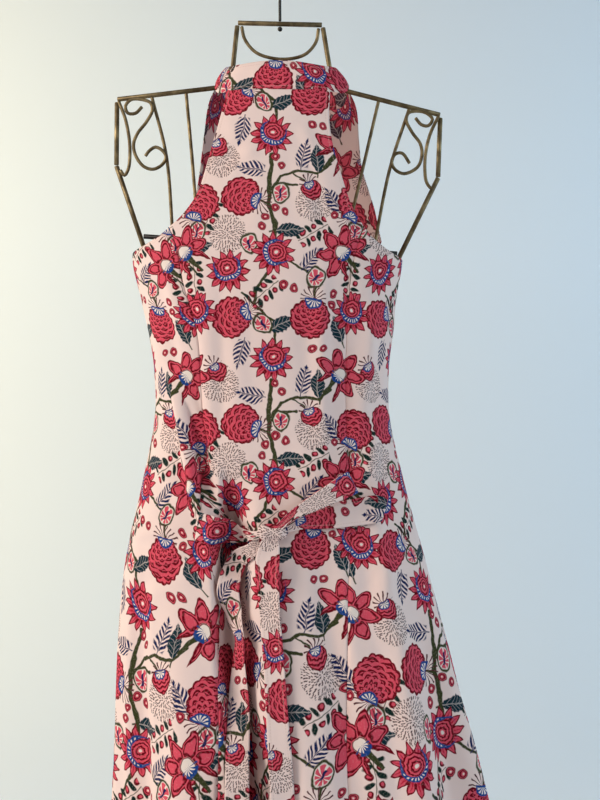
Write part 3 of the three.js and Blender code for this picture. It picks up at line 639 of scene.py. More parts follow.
def spray(x, y):
    """A round cloud of fine dashes that point outwards."""
    tree = x.tree
    point = add_node(tree, "CombineXYZ", [x, y])[0]
    cell = {"Vector": point, "Scale": 1 / 2.3, "Randomness": 0.7}
    centre = add_node(tree, "TexVoronoi", cell, voronoi_dimensions="2D")["Position"]
    off = vector_node(tree, "SUBTRACT", point, centre)[0]
    ray = vector_node(tree, "NORMALIZE", point)[0]
    along_ray = measure(tree, "DOT_PRODUCT", off, ray)
    beside = measure(tree, "LENGTH", vector_node(tree, "CROSS_PRODUCT", off, ray)[0])
    dash = (0.75 - abs(along_ray) * 0.8).least(0.42 - beside)
    return [(dash.least(18.8 - distance(x, y)) * 1.4, MAROON)]


def leaf(x, y):
    """A broad leaf with a light midrib and veins."""
    x, y = x * 0.92, y * 0.92
    half = (1 - y * y * (1 / 13.8 ** 2)) * (6.6 - y * 0.16)
    edge = half - abs(x) - abs((y * 0.85).sine()) * 0.7
    veins = abs(((abs(x) * 0.9 - y) * 0.26).fraction() - 0.5)
    vein = (edge - 0.8).least((0.075 - veins) * 4).most((0.45 - abs(x)).least(edge))
    shade = edge.least((0.25 - veins) * 4) * (0.7 / 1.5)
    stalk = (0.7 - abs(x)).least(-11.5 - y).least(y + 19)
    return [(stalk, OLIVE), (edge, TEAL), (shade, NAVY, 0.4), (vein - 0.15, CREAM, 0.6)]


def sprig(x, y):
    """A comb of slanting dark leaflets."""
    side = abs(x)
    slant = (y - side * 0.85) * 0.22
    leaflet = 1.35 - abs(slant.fraction() - 0.5) * 4.7
    reach = (8.6 - side - abs(y + 2) * 0.3).least(side - 0.6)
    tip = 1.5 - side - abs(y - 14) * 0.42
    stem = (0.45 - side).least(14 - abs(y + 1))
    return [(leaflet.least(reach * 0.5).least((12 - abs(y)) * 0.5).most(tip).most(stem), NAVY)]


def bud(x, y):
    """A pink and white bud in an olive outline, with a blue stroke."""
    oval = 1 - distance(x * (1 / 8.8), y * (1 / 11.2) - abs(x) * 0.02)
    inner = (oval - 0.27) * 8.5
    stroke = 1.1 - abs(x - y * 0.35 + (y * 0.5).sine())
    petals = inner.least(abs((angle_of(x, y + 2) * 4).sine()) * 3 - 1.2)
    return [
        (oval * 7, OLIVE), (inner + 0.6, CREAM), (petals, PINK),
        (inner.least(stroke).least(5 - abs(y)), NAVY),
    ]


def berry_pair(x, y):
    """Two ringed berries side by side."""
    r = distance(abs(x) - 5.2, y)
    return [(4.2 - r, CRIMSON), (3.4 - r, PINK), (0.55 - abs(r - 2.3), CRIMSON), (0.8 - r, CREAM)]


def twig(x, y):
    """Dark leaves and red berries in turn on both sides of a thin stem."""
    row = y * (1 / TWIG_STEP)
    odd = (row.floor() * 0.5).fraction() * 4 - 1
    side, up = x * odd, (row.fraction() - 0.5) * TWIG_STEP
    leafy = 2.3 - distance((side + 5.7) * 0.5, up - side * 0.3 - 1.7)
    layers = [
        (0.35 - abs(x), OLIVE), (leafy, DARK_LEAF), (3.1 - distance(side - 5.4, up), CRIMSON),
        (1.6 - distance(side - 5.6, up - 0.5), PINK),
    ]
    return [(depth.least(17.5 - abs(y)), colour) for depth, colour in layers]


def vines(tree, cloth):
    """The distance inside the vines, from straight stretches that the hand-drawn waviness bends."""
    here = from_place(tree, cloth, VINE_CENTRE)
    inside = None
    for width, points in VINES:
        placed = [print_place(x - VINE_CENTRE[0], y - VINE_CENTRE[1]) for x, y in points]
        for (ax, ay), (bx, by) in zip(placed, placed[1:]):
            x, y = bx - ax, by - ay
            square = x ** 2 + y ** 2
            start = vector_node(tree, "SUBTRACT", here, (ax, ay, 0))[0]
            share = measure(tree, "DOT_PRODUCT", start, (x / square, y / square, 0))
            share = share.made("MULTIPLY", share, 1.0, clamp=True)
            off = vector_node(tree, "MULTIPLY_ADD", share, (-x, -y, 0), start)[0]
            depth = width - measure(tree, "LENGTH", off)
            inside = depth if inside is None else inside.most(depth)
    return inside


def layer_group(name, draw):
    """A node group that lays the layers of draw(tree, cloth) over the colour that comes in."""
    def laid(tree, cloth, colour):
        for depth, shade, *strength in draw(tree, cloth):
            share = depth.inside() * strength[0] if strength else depth.inside()
            colour = mixed(tree, "RGBA", share, colour, linear(shade))
        return colour
    return node_group(name, ("Vector", "Color"), laid)


def motif_group(motif, places):
    return layer_group(motif.__name__, lambda tree, cloth: motif(*nearest_place(tree, cloth, places)))


def flower_print(tree, cloth):
    """The print's colour at a place on the flat cloth, a little wavy as a hand draws it."""
    groups = [layer_group("vines", lambda tree, cloth: [(vines(tree, cloth), OLIVE)])]
    groups += [motif_group(motif, places) for motif, places in (
        (spray, SPRAYS), (twig, TWIGS), (sprig, SPRIGS), (leaf, LEAVES), (berry_pair, BERRY_PAIRS),
        (bud, BUDS), (strawberry, STRAWBERRIES), (pompom, POMPOMS), (lotus, LOTUSES),
        (sunflower, SUNFLOWERS),
    )]
    waviness = noise(tree, cloth, 0.075, 2.0)["Color"]
    push = vector_node(tree, "MULTIPLY_ADD", waviness, (5.0, 5.0, 0), (-2.5, -2.5, 0))[0]
    wavy = vector_node(tree, "ADD", cloth, push)[0]
    colour = linear(GROUND)
    for group in groups:
        colour = add_node(tree, "Group", [wavy, colour], node_tree=group)[0]
    return colour


def printed_cotton():
    """Fine cotton with the print, its inner faces tinted a little towards a dusky rose, partly as the wrong
    side of the print and partly as painted shade inside the dress, with stitches along its finished edges.
    """
    made, tree, shader = new_material("printed_cotton")
    cut, edge = (add_node(tree, "UVMap", uv_map=label)[0] for label in ("cut", "edge"))
    group = node_group("flower_print", ("Vector",), flower_print)
    flowers = add_node(tree, "Group", [cut], node_tree=group)[0]
    uneven = Number(tree, noise(tree, cut, 0.55, 3.0)["Fac"])
    colour = mixed(tree, "RGBA", (uneven - 0.52).most(0) * 0.4, flowers, linear(GROUND))
    wrong = Number(tree, add_node(tree, "Attribute", attribute_name="wrong_side")["Fac"])
    # Painted shade: the inner faces are mixed a little towards a dusky rose, partly the wrong side of the
    # print and partly the shade inside the dress
    colour = mixed(tree, "RGBA", wrong * 0.14, colour, linear(WRONG_SIDE_AND_SHADE))

    off, way = numbers(tree, edge)[:2]
    row = 0.38 - abs(off - STITCH_INSET)
    stitch = row.least((0.36 - abs((way * (1 / STITCH_PITCH)).fraction() - 0.5)) * STITCH_PITCH)
    thread = stitch.inside(0.3)
    colour = mixed(tree, "RGBA", thread * 0.4, colour, linear(THREAD))

    across, down = ((place * (math.tau / THREAD_PITCH)).sine() for place in numbers(tree, cut)[:2])
    seam_pull = (1.6 - abs(off - STITCH_INSET)).inside(2.4)
    height = across * down * 0.25 + uneven * 0.5 - seam_pull * 1.3 + thread * 0.8
    fill(tree, shader, {
        "Base Color": colour, "Normal": bumped(tree, height, 0.35, 0.0003), "Roughness": 0.82,
        "Specular IOR Level": 0.08,
    })
    return made


def worn_metal(name, patches, contrast, offset, colours, metallic, rough, change):
    """A metal that is worn in patches, which change its roughness, with what a bump on it needs."""
    made, tree, shader = new_material(name)
    patchy = Number(tree, noise(tree, add_node(tree, "TexCoord")["Object"], *patches, "3D")["Fac"])
    worn = patchy.made("MULTIPLY_ADD", patchy, contrast, offset, clamp=True)
    colour = mixed(tree, "RGBA", worn, *(linear(shade) for shade in colours))
    fill(tree, shader, {"Base Color": colour, "Metallic": metallic, "Roughness": worn * change + rough})
    return made, tree, shader, patchy


def antique_brass():
    """Lacquered brass gone brown, bright where it is rubbed."""
    colours = (98, 82, 56), (156, 136, 98)
    brass = worn_metal("antique_brass", (95.0, 6.0), 3.2, -1.3, colours, 0.7, 0.5, -0.14)
    made, tree, shader, patchy = brass
    fill(tree, shader, {"Normal": bumped(tree, patchy, 0.3, 0.0004)})
    return made


def black_steel():
    """Steel wire with a worn black finish."""
    colours = (38, 36, 35), (74, 70, 66)
    return worn_metal("black_steel", (140.0, 5.0), 4.0, -2.2, colours, 0.6, 0.4, 0.15)[0]


# Surfaces worked out from the tables
SKIRT_SWELL, SWELL_TOP, SWELL_RUN = 0.2, -640.0, 140.0
FRONT_NECK = -174.6
ROW_STEP, NECK_ROWS, CENTRE_COLUMNS, SIDE_COLUMNS = 4.6, 41, 74, 50
COLLAR_ROWS, COLLAR_COLUMNS = 15, 240
UNSTITCHED = 1000.0
RIPPLE_DEPTH = 0.16


def along(rows, key, column, at):
    """A smooth curve through one column of a table, at values of its key column."""
    keys, values = rows[key], rows[column]
    if keys[0] > keys[-1]:
        keys, values = keys[::-1], values[::-1]
    last = len(keys) - 1
    low = np.maximum(np.arange(last + 1) - 1, 0)
    high = np.minimum(np.arange(last + 1) + 1, last)
    slopes = (values[high] - values[low]) / (keys[high] - keys[low])
    at = np.asarray(at, float)
    i = np.clip(np.searchsorted(keys, at, side="right") - 1, 0, last - 1)
    span = keys[i + 1] - keys[i]
    t = np.clip((at - keys[i]) / span, 0, 1)
    a, b = slopes[i] * span, slopes[i + 1] * span
    change = values[i + 1] - values[i]
    return values[i] + t * (a + t * (3 * change - 2 * a - b + t * (a + b - 2 * change)))


def smooth_step(t):
    c = np.clip(t, 0, 1)
    return c * c * (3 - 2 * c)


def signed_power(v, power):
    return np.sign(v) * np.abs(v) ** power


def section_point(angle, z):
    """The oval section's point at an angle in degrees: 0 is mid back, 90 the right side, 180 the front."""
    left, right, near, far, boxy = (along(SECTIONS, "z", c, z) for c in "left right near far boxy".split())
    across, ahead = np.sin(np.radians(angle)), np.cos(np.radians(angle))
    x = (left + right) / 2 + (right - left) / 2 * signed_power(across, 2 / boxy)
    y = -np.where(ahead > 0, near, far) * signed_power(ahead, 2 / boxy)
    return x, y


def angle_at(x, z, side):
    left, right, boxy = (along(SECTIONS, "z", c, z) for c in "left right boxy".split())
    share = np.clip((x - (left + right) / 2) / ((right - left) / 2), -1, 1)
    angle = np.degrees(np.arcsin(signed_power(share, boxy / 2)))
    return angle if side == "back" else 180 - angle


def fold_depth(angle, z):
    total = np.zeros(np.broadcast(angle, z).shape)
    for f in FOLDS:
        down = np.minimum((f["top"] - z) / (f["top"] - f["bottom"]), 1)
        off = (angle - f["start"] - (f["end"] - f["start"]) * down + 180) % 360 - 180
        t = np.minimum(np.where(off < 0, -off / f["left"], off / f["right"]), 1)
        started = smooth_step((f["top"] - z) / f["grow"])
        lasting = smooth_step((z - f["bottom"]) / f["fade"] + 1)
        total += f["depth"] * started * lasting * 0.5 * (1 + np.cos(np.pi * t))
    return total


def outward(point_at, angle, z, step=0.4):
    """The direction out of a surface, in plan, from its points a step of degrees to both sides."""
    ax, ay = point_at(angle - step, z)
    bx, by = point_at(angle + step, z)
    length = np.hypot(bx - ax, by - ay)
    return (by - ay) / length, -(bx - ax) / length


def pushed(point, normal, z, depth):
    """Points moved out along their normals."""
    return np.stack([point[0] + normal[0] * depth, point[1] + normal[1] * depth, z], -1)


def folded_point(angle, z):
    x, y = section_point(angle, z)
    nx, ny = outward(section_point, angle, z)
    d = fold_depth(angle, z)
    return x + nx * d, y + ny * d


def crease_depth(x, y, z):
    """The listed creases and a slight unevenness of the cloth."""
    total = np.zeros(x.shape)
    for x0, z0, x1, z1, depth, half, facing in (
        *((*crease, -1) for crease in BACK_CREASES), *((*crease, 1) for crease in FRONT_CREASES),
    ):
        run = np.array([x1 - x0, z1 - z0])
        length = np.hypot(*run)
        run = run / length
        s = (x - x0) * run[0] + (z - z0) * run[1]
        off = (x - x0) * run[1] - (z - z0) * run[0]
        ends = smooth_step((s + 8) / (0.35 * length)) * smooth_step((length + 8 - s) / (0.35 * length))
        shape = np.exp(-(off / half) ** 2) - 0.4 * np.exp(-((off - 1.9 * half) / half) ** 2)
        total += depth * ends * shape * (y * facing > 0)
    random = np.random.RandomState(RIPPLE_SEED)
    for _ in range(RIPPLES):
        wave = random.uniform(55, 170)
        flat, phase = random.uniform(0, 2 * np.pi), random.uniform(0, 2 * np.pi)
        k = 2 * np.pi / wave
        total += RIPPLE_DEPTH * np.sin(k * (x * np.cos(flat) + y * np.sin(flat)) + 0.35 * k * z + phase)
    return total


def edge_angles(side, z):
    """The angles of a centre panel's two edges, the smaller one first."""
    z = np.asarray(z, float)
    found = []
    for end in ("Left", "Right"):
        x = np.where(z > CROSSING, along(ARMHOLES, "z", side + end, z), along(SEAMS, "z", side + end, z))
        found.append(angle_at(x, z, side))
    return found if side == "back" else found[::-1]


def collar_raised(angle):
    """1 over the shoulder bars, where the collar's edge is lifted, and 0 at mid back and mid front."""
    turned = (angle + 180) % 360 - 180
    return smooth_step((41 - np.abs(90 - np.abs(turned))) / 35)


def collar_bottom(angle):
    on_bar = np.where(np.sin(np.radians(angle)) < 0, ON_BAR_LEFT, ON_BAR_RIGHT)
    return COLLAR_SEAM + (on_bar - COLLAR_SEAM) * collar_raised(angle)


def neck_edge(angle):
    raised = collar_raised(angle)
    return collar_bottom(angle) - 1.6 * SEAM_GAP - 14 * SEAM_GAP * raised * (1 - raised) + NECK_TUCK


# Meshes of cloth
def wall_faces(rows, columns, closed):
    """Faces of a wall of two grids, the outer one first, with its rims closed."""
    count = rows * columns
    grid = np.arange(count).reshape(rows, columns)
    if closed:
        grid = np.hstack([grid, grid[:, :1]])
    outer = np.stack([grid[:-1, :-1], grid[1:, :-1], grid[1:, 1:], grid[:-1, 1:]], -1).reshape(-1, 4)
    faces = [outer, outer[:, [0, 3, 2, 1]] + count]
    rims = [grid[0], grid[-1, ::-1]] if closed else [grid[0], grid[-1, ::-1], grid[::-1, 0], grid[:, -1]]
    for rim in rims:
        faces.append(np.stack([rim[:-1], rim[1:], rim[1:] + count, rim[:-1] + count], -1))
    return np.concatenate(faces)


def tube_faces(rings, sides):
    """Faces between rings of vertices."""
    faces = []
    for r in range(rings - 1):
        for k in range(sides):
            n = (k + 1) % sides
            faces.append((r * sides + k, r * sides + n, (r + 1) * sides + n, (r + 1) * sides + k))
    return faces


def with_maps(made, cut, edge, wrong):
    """A mesh with two UV maps in millimetres, cut with the print's place on the flat cloth and edge with the
    distance from a stitched edge and the way along it, and with wrong_side, which is 1 on the inner face."""
    mesh = made.data
    corners = np.zeros(len(mesh.loops), int)
    mesh.loops.foreach_get("vertex_index", corners)
    for label, values in (("cut", cut), ("edge", edge)):
        layer = mesh.uv_layers.new(name=label)
        layer.data.foreach_set("uv", values[corners].ravel().astype(np.float32))
    layer = mesh.attributes.new("wrong_side", "FLOAT", "POINT")
    layer.data.foreach_set("value", np.array(wrong, np.float32))
    return made


def cloth_mesh(name, outer, inner, cut, edge, closed=False):
    """A shell of cloth from its two faces and the places that its maps give both of them."""
    rows, columns = outer.shape[:2]
    vertices = np.concatenate([outer.reshape(-1, 3), inner.reshape(-1, 3)])
    made = add_mesh(name, vertices, wall_faces(rows, columns, closed).tolist())
    cut, edge = (np.tile(values.reshape(-1, 2), (2, 1)) for values in (cut, edge))
    return with_maps(made, cut, edge, np.repeat([0, 1], rows * columns))


def way_along(points):
    """Distance along each row of points from its first one."""
    steps = np.linalg.norm(np.diff(points, axis=-2), axis=-1)
    return np.concatenate([np.zeros((*steps.shape[:-1], 1)), np.cumsum(steps, axis=-1)], axis=-1)


def print_scale(z):
    """How large the print shows, which grows where the skirt swings out."""
    return 1 + SKIRT_SWELL * smooth_step((SWELL_TOP - z) / SWELL_RUN)


def print_down(z):
    """How far down the print a height is, in millimetres of flat cloth."""
    fine = np.linspace(0, HEM, 1551)
    steps = np.diff(fine) / print_scale((fine[1:] + fine[:-1]) / 2)
    down = -np.concatenate([[0], np.cumsum(steps)])
    down -= np.interp(-PRINT_TOP, -fine, down)
    return np.interp(-z, -fine, down)


def seam_relief(away, z):
    """The stitched groove, the pucker and the pull of the cloth beside a seam below the crossing."""
    sewn = smooth_step((CROSSING + 6 - z) / 12)
    pucker = 0.25 * np.sin(z * 0.62 + 2.2 * np.sin(z * 0.047)) * np.exp(-away / 7)
    pulled = SEAM_PULL * smooth_step((CROSSING - 10 - z) / 90) * smooth_step((z + 690) / 120)
    pulled = pulled * (1 + 0.35 * np.sin(z / 23 + 1.7 * np.sin(z / 57)))
    return sewn * (pucker - 0.9 * np.exp(-(away / 2.2) ** 2) - pulled * np.exp(-(away / 8) ** 2))


def panel_mesh(name, angle, z, edge, sewn_column=0, grain=None):
    """A panel from its grids of angles and heights. The print is placed from sewn_column by the table grain,
    or else from the grain line at GRAIN_X."""
    point, normal = folded_point(angle, z), outward(folded_point, angle, z)
    lengths = way_along(pushed(point, normal, z, 0))
    d = crease_depth(*point, z)
    for column in (0, -1):
        d = d + seam_relief(np.abs(lengths - lengths[:, [column]]), z)
    outer, inner = pushed(point, normal, z, d), pushed(point, normal, z, d - FABRIC)
    if grain is None:
        start = [[np.interp(GRAIN_X, row_x, row_l)] for row_x, row_l in zip(point[0], lengths)]
        across, drop = 0.0, 0.0
    else:
        start = lengths[:, [sewn_column]]
        across, drop = (along(grain, "z", column, z) for column in ("u", "drop"))
    cut = np.stack([(lengths - start) / print_scale(z) + across, -(print_down(z) + drop)], -1)
    return cloth_mesh(name, outer, inner, cut, edge)


def heights(levels, step):
    """Levels split into steps no longer than step."""
    values = levels[:1]
    for a, b in zip(levels, levels[1:]):
        count = math.ceil(abs(b - a) / step)
        values += [a + (b - a) * i / count for i in range(1, count + 1)]
    return np.array(values)


def crowded_columns(count, place=0.22, width=0.12, gain=1.4):
    """Shares from 0 to 1, closer together at the deep fold's place."""
    fine = np.linspace(0, 1, 2001)
    weight = 1 + gain * np.exp(-((fine - place) / width) ** 2)
    total = np.concatenate([[0], np.cumsum((weight[1:] + weight[:-1]) / 2)])
    return np.interp(np.linspace(0, total[-1], count), total, fine)


def draw_in(angle, z, turn):
    """Draws a panel's two edges in by half of the gap at a seam. turn is 1 where angles grow along a row."""
    for column, way in ((0, turn), (-1, -turn)):
        ends = [folded_point(angle[:, column] + half, z[:, column]) for half in (-0.5, 0.5)]
        angle[:, column] += way * SEAM_GAP / 2 / np.hypot(*np.subtract(*ends))


BODY_LEVELS = heights([CROSSING, -700.0, -1000.0, HEM], ROW_STEP)


def centre_panel(side):
    top = COLLAR_SEAM if side == "back" else FRONT_NECK
    shares = crowded_columns(CENTRE_COLUMNS) if side == "back" else np.linspace(0, 1, CENTRE_COLUMNS)
    down = np.linspace(0, 1, NECK_ROWS + 1)[:-1]
    first, last = edge_angles(side, top)
    neck = neck_edge(first + (last - first) * shares)
    upper = neck + (CROSSING - neck) * down[:, None]
    z = np.concatenate([upper, np.repeat(BODY_LEVELS[:, None], len(shares), 1)])
    firsts, lasts = edge_angles(side, np.concatenate([top + (CROSSING - top) * down, BODY_LEVELS]))
    angle = firsts[:, None] + (lasts - firsts)[:, None] * shares
    draw_in(angle, z, 1)
    lengths = way_along(np.stack([*folded_point(angle, z), z], -1))
    nearest = np.minimum(lengths, lengths[:, [-1]] - lengths)
    edge = np.stack([nearest + UNSTITCHED * smooth_step((CROSSING + 4 - z) / 8), z], -1)
    if side == "front":
        angle, z, edge = angle[:, ::-1], z[:, ::-1], edge[:, ::-1]
    return panel_mesh(side + "_centre_cloth", angle, z, edge)


def side_panel(side, end):
    right = end == "right"
    side_seam = 90 if right else -90 if side == "back" else 270
    tip = TIP_RIGHT if right else TIP_LEFT
    shares = np.linspace(0, 1, SIDE_COLUMNS)
    edge_z = CROSSING + (tip - CROSSING) * (1 - (1 - shares) ** 2.7)
    z = HEM + (BODY_LEVELS[:, None] - HEM) * (edge_z - HEM) / (CROSSING - HEM)
    princess = edge_angles(side, z)[1 if (side == "back") == right else 0]
    angle = princess + (side_seam - princess) * shares
    turn = 1 if side_seam > angle[0, 0] else -1
    draw_in(angle, z, turn)
    if turn < 0:
        angle, z = angle[:, ::-1], z[:, ::-1]
    edge = np.stack([z[[0]] - z, way_along(np.stack([*folded_point(angle, z), z], -1))], -1)
    grain = GRAIN_RIGHT if right else GRAIN_LEFT
    return panel_mesh(f"{side}_side_{end}_cloth", angle, z, edge, 0 if turn > 0 else -1, grain)


def collar():
    """The stand collar: two layers of cloth, slack between its edges."""
    angle = -180 + 360 * np.arange(COLLAR_COLUMNS) / COLLAR_COLUMNS
    share = np.linspace(1, 0, COLLAR_ROWS)[:, None]
    bottom, top = collar_bottom(angle), along(COLLAR_TOP, "angle", "top", angle)
    z = bottom + (top - bottom) * share
    angle = np.broadcast_to(angle, z.shape)
    point, normal = section_point(angle, z), outward(section_point, angle, z)
    full = np.sin(np.pi * share) ** 0.7
    wrinkle = 0.35 * np.sin(np.radians(angle) * 26 + 3 * np.sin(np.radians(angle) * 5)) * full
    outer = pushed(point, normal, z, 0.9 * full - 0.6 + wrinkle)
    inner = pushed(point, normal, z, -DOUBLE_FABRIC - 0.5 * full)
    lengths = way_along(outer)
    middle = lengths[COLLAR_ROWS // 2]
    across = np.broadcast_to(middle - middle[COLLAR_COLUMNS // 2], z.shape)
    cut = np.stack([across, z - bottom + COLLAR_SEAM], -1) + COLLAR_PRINT
    edge = np.stack([np.minimum(z - bottom, top - z), lengths], -1)
    return cloth_mesh("collar_cloth", outer, inner, cut, edge, closed=True)


def back_depth(x, z):
    """The y of the back's outer face at x and z."""
    x, z = np.broadcast_arrays(np.asarray(x, float), np.asarray(z, float))
    angle = angle_at(x, z, "back")
    for _ in range(12):
        slope = folded_point(angle + 0.5, z)[0] - folded_point(angle - 0.5, z)[0]
        angle = angle + (x - folded_point(angle, z)[0]) / np.maximum(slope, 0.5)
    return folded_point(angle, z)[1]


def unit(v):
    return v / np.linalg.norm(v, axis=-1, keepdims=True)


def turned_about(v, axis, degrees):
    a = np.radians(degrees)[:, None]
    along_axis = axis * np.sum(axis * v, -1, keepdims=True)
    return v * np.cos(a) + np.cross(axis, v) * np.sin(a) + along_axis * (1 - np.cos(a))


def band_stations(rows, count=60, closer=0.0):
    """Middle points, unit vectors across and out of a band's face, and widths, along a smooth path."""
    xs, zs, wide = rows["x"], rows["z"], rows["wide"]
    run = unit(np.stack([np.gradient(xs), np.gradient(zs)], -1))
    under = np.min([back_depth(xs - run[:, 1] * wide * s, zs + run[:, 0] * wide * s)
                    for s in (-0.5, -0.25, 0, 0.25, 0.5)], axis=0)
    way = way_along(np.stack([xs, zs], -1))
    line = dict(rows, way=way, y=under - rows["lift"] + closer)
    at = np.linspace(0, way[-1], count)
    centre = np.stack([along(line, "way", c, at) for c in "xyz"], -1)
    tangent = unit(np.gradient(centre, axis=0))
    face = unit(np.array([0, -1, 0]) + tangent * tangent[:, [1]])
    face = turned_about(face, tangent, along(line, "way", "turn", at))
    across = unit(np.cross(face, tangent))
    return centre, across, face, along(line, "way", "wide", at), at


def band_mesh(name, centre, across, face, wide, way, cut_at, curl=0.0, waves=0.0):
    """A ribbon of doubled cloth along its stations, its edges curled a little."""
    s = np.linspace(-0.5, 0.5, BAND_STRIPS)[None, :, None]
    bow = curl * (4 * s * s - 0.33)
    down = way[:, None]
    wave = waves * np.sin(down / 17 + 5 * np.sin(down / 61))[..., None]
    wave = wave * np.cos(2.4 * s + down[..., None] / 23)
    middle = centre[:, None] + across[:, None] * s * wide[:, None, None] + face[:, None] * (bow + wave)
    thick = DOUBLE_FABRIC / 2 * (1 - 0.55 * (2 * np.abs(s)) ** 6)
    outer, inner = middle + face[:, None] * thick, middle - face[:, None] * thick
    s = s[..., 0]
    cut = np.stack([s * np.maximum(wide, PRINT_WIDTH)[:, None] + cut_at[0], cut_at[1] - down + 0 * s], -1)
    edge = np.stack([wide[:, None] * (0.5 - np.abs(s)), down + 0 * s], -1)
    return cloth_mesh(name, outer, inner, cut, edge)


def loop_mesh():
    """The bow's loop: out along the near run, round its end and back along the run behind."""
    near, behind = band_stations(LOOP, 30), band_stations(LOOP, 30, LOOP_DEPTH)
    run = unit(near[0][-1] - near[0][-2])
    turns = np.linspace(0, np.pi, 11)[1:-1]
    middle, half = (near[0][-1] + behind[0][-1]) / 2, (near[0][-1] - behind[0][-1]) / 2
    tip = [middle + half * math.cos(t) + run * math.sin(t) * LOOP_DEPTH * 0.55 for t in turns]
    tip_face = [unit(half) * math.cos(t) + run * math.sin(t) for t in turns]
    points = np.concatenate([near[0], tip, behind[0][::-1]])
    across = np.concatenate([near[1], np.repeat(near[1][-1:], len(turns), 0), behind[1][::-1]])
    face = np.concatenate([near[2], tip_face, -behind[2][::-1]])
    wide = np.concatenate([near[3], np.repeat(near[3][-1:], len(turns)), behind[3][::-1]])
    return band_mesh("loop_cloth", points, across, face, wide, way_along(points), LOOP_PRINT, curl=0.6)


def knot_mesh():
    """The knot: a pad of cloth pulled over in soft ridges."""
    rows, columns = 40, 72
    turn = np.linspace(0, np.pi, rows)[:, None]
    round_ = np.linspace(0, 2 * np.pi, columns, endpoint=False)[None, :]
    a = -np.cos(turn) + 0 * round_
    b, c = np.sin(turn) * np.sin(round_), np.sin(turn) * np.cos(round_)
    waist = 1 - 0.14 * np.exp(-((a / 0.35) ** 2))
    ridge = 1 + 0.055 * np.sin(round_ * 3 + 2.4 * a + 0.8) * np.sin(turn)
    ridge += 0.03 * np.sin(round_ * 7 - 3.1 * a)
    y = float(back_depth(KNOT["x"], KNOT["z"])) - KNOT["lift"]
    vertices = np.stack([
        KNOT["x"] + signed_power(a, 0.8) * KNOT["half_wide"],
        y - c * waist * ridge * KNOT["half_deep"],
        KNOT["z"] + b * waist * ridge * KNOT["half_high"],
    ], -1).reshape(-1, 3)
    made = add_mesh("knot_cloth", vertices, tube_faces(rows, columns))
    flat = vertices[:, [0, 2]] + KNOT_PRINT
    return with_maps(made, flat, np.full(flat.shape, UNSTITCHED), np.zeros(len(flat)))


# Wires of the hanger
def resampled(points, step=2.0):
    """A centripetal curve through points, as closely spaced points."""
    points = [np.array(p, float) for p in points]
    if len(points) == 2:
        return points
    ends = [2 * points[0] - points[1]] + points + [2 * points[-1] - points[-2]]
    path = []
    for four in zip(ends, ends[1:], ends[2:], ends[3:]):
        gaps = np.linalg.norm(np.diff(four, axis=0), axis=1)
        knots = np.concatenate([[0], np.cumsum(gaps ** 0.5)])
        for t in np.linspace(knots[1], knots[2], max(2, int(gaps[1] / step) + 1))[:-1]:
            stage = four
            for pairs in (((0, 1), (1, 2), (2, 3)), ((0, 2), (1, 3)), ((1, 2),)):
                stage = [
                    ((knots[j] - t) * a + (t - knots[i]) * b) / (knots[j] - knots[i])
                    for (i, j), a, b in zip(pairs, stage, stage[1:])
                ]
            path.append(stage[0])
    return path + [points[-1]]


def wire_mesh(name, points, radius, y=0.0):
    """A round wire along points (x, z) of a plane of constant y, with slightly rounded ends."""
    path = np.array(resampled(points))
    path = np.stack([path[:, 0], np.full(len(path), y), path[:, 1]], -1)
    tangent = unit(np.gradient(path, axis=0))
    side = np.array([0.0, 1.0, 0.0])
    up = np.cross(tangent, side)
    first, last = path[0] + tangent[0] * WIRE_RIM, path[-1] - tangent[-1] * WIRE_RIM
    path = np.concatenate([path[:1], [first], path[1:-1], [last], path[-1:]])
    up = np.concatenate([up[:1], up[:1], up[1:-1], up[-1:], up[-1:]])
    radii = np.full(len(path), radius)
    radii[[0, -1]] = radius - WIRE_RIM
    turn = np.linspace(0, 2 * np.pi, WIRE_SIDES, endpoint=False)
    ring = up[:, None] * np.cos(turn)[None, :, None] + side * np.sin(turn)[None, :, None]
    vertices = (path[:, None] + ring * radii[:, None, None]).reshape(-1, 3)
    caps = [tuple(reversed(range(WIRE_SIDES))), tuple(range(len(vertices) - WIRE_SIDES, len(vertices)))]
    return add_mesh(name, vertices, tube_faces(len(path), WIRE_SIDES) + caps)


def on_line(line, x):
    (x0, z0), (x1, z1) = line
    return z0 + (z1 - z0) * (x - x0) / (x1 - x0)


def hook_points():
    radius = HOOK_INNER_RADIUS + STEM_RADIUS
    points = [(0, STEM_FOOT), (0, -82), (1.5, -62), (9, -48)]
    for angle in range(-42, 206, 19):
        a = math.radians(angle)
        points.append((radius * math.cos(a), -HOOK_INNER_RADIUS + radius * math.sin(a)))
    return points


def rod_points(top, middle, foot):
    """A rod's points, from a place across on its shoulder bar to one on the chest bar."""
    bar, reach = BAR_LEFT if top < 0 else BAR_RIGHT, BAR_RADIUS * 0.8
    return [(top, on_line(bar, top) - reach), middle, (foot, on_line(CHEST_BAR, foot) + reach)]


def place(piece, node, slot, material):
    """Puts a piece in the place of a CAD node."""
    piece.data.materials.append(material)
    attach(piece, "root")
    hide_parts(node)


def place_cloth(piece, node, held, *rests_on):
    """A piece of the printed cotton, put in the place of its CAD node."""
    place(piece, node, "printed_cotton", printed)


def place_wire(name, points, radius, plane=0.0, node=None, slot="antique_brass"):
    """A wire of the hanger, for the node of its own name if no other is named."""
    place(wire_mesh(name + "_wire", points, radius, plane), node or name, slot, metals[slot])


add_camera()
add_stage()
add_lights()
printed = printed_cotton()
metals = {"antique_brass": antique_brass(), "black_steel": black_steel()}

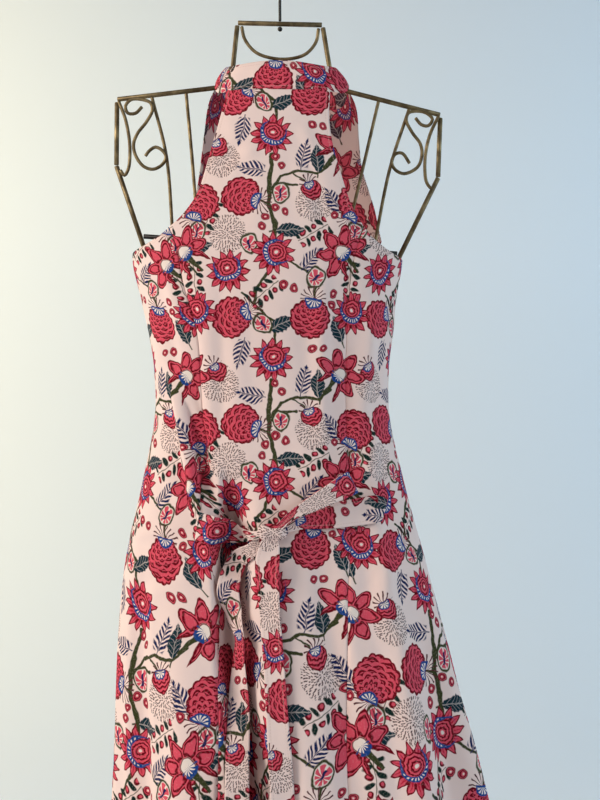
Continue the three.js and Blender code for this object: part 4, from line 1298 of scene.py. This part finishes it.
for side in ("back", "front"):
    place_cloth(centre_panel(side), side + "_centre_panel", "hung", "collar_band")
    for end in ("left", "right"):
        place_cloth(side_panel(side, end), f"{side}_side_panel_{end}", "hung", side + "_centre_panel")
place_cloth(collar(), "collar_band", "hung", "shoulder_bar_left", "shoulder_bar_right")
for band, rows, count, cut_at, curl, waves, held, rests_on in (
    ("tie_left", TIE_LEFT, 60, (5, -100), 0.0, 0.0, "gathered", "back_side_panel_left"),
    ("tie_right", TIE_RIGHT, 60, (38, -144), 0.0, 0.0, "gathered", "back_side_panel_right"),
    ("tail_left", TAIL_LEFT, 120, (42, -58), 1.0, 0.8, "hung", "bow_knot"),
    ("tail_right", TAIL_RIGHT, 120, (-47, -25), 1.0, 0.8, "hung", "bow_knot"),
):
    mesh = band_mesh(band + "_cloth", *band_stations(rows, count), cut_at, curl, waves)
    place_cloth(mesh, band, held, rests_on)
place_cloth(loop_mesh(), "bow_loop", "folded", "bow_knot")
place_cloth(knot_mesh(), "bow_knot", "folded", "tie_left", "tie_right")

place_wire("hook", hook_points(), STEM_RADIUS, node="hook_and_stem", slot="black_steel")
place_wire("chest", CHEST_BAR, BAR_RADIUS, node="chest_bar", slot="black_steel")
for name, points in WIRES.items():
    place_wire(name, points, BAR_RADIUS)
place_wire("neck_top", NECK_TOP, BAR_RADIUS, node="neck_top_bar")
place_wire("neck_arc", NECK_ARC, ROD_RADIUS)
place_wire("shoulder_left", BAR_LEFT, BAR_RADIUS, node="shoulder_bar_left")
place_wire("shoulder_right", BAR_RIGHT, BAR_RADIUS, node="shoulder_bar_right")
for name, rod in RODS.items():
    place_wire(name, rod_points(*rod), ROD_RADIUS)
for kind, left, right, plane in (
    ("scroll", SCROLL_LEFT, SCROLL_RIGHT, SCROLL_PLANE),
    ("hairpin", HAIRPIN_LEFT, HAIRPIN_RIGHT, HAIRPIN_PLANE),
):
    place_wire(kind + "_left", left, ROD_RADIUS, plane)
    place_wire(kind + "_right", right, ROD_RADIUS, plane)
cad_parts["stem_ball"].data.materials.clear()
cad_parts["stem_ball"].data.materials.append(metals["black_steel"])
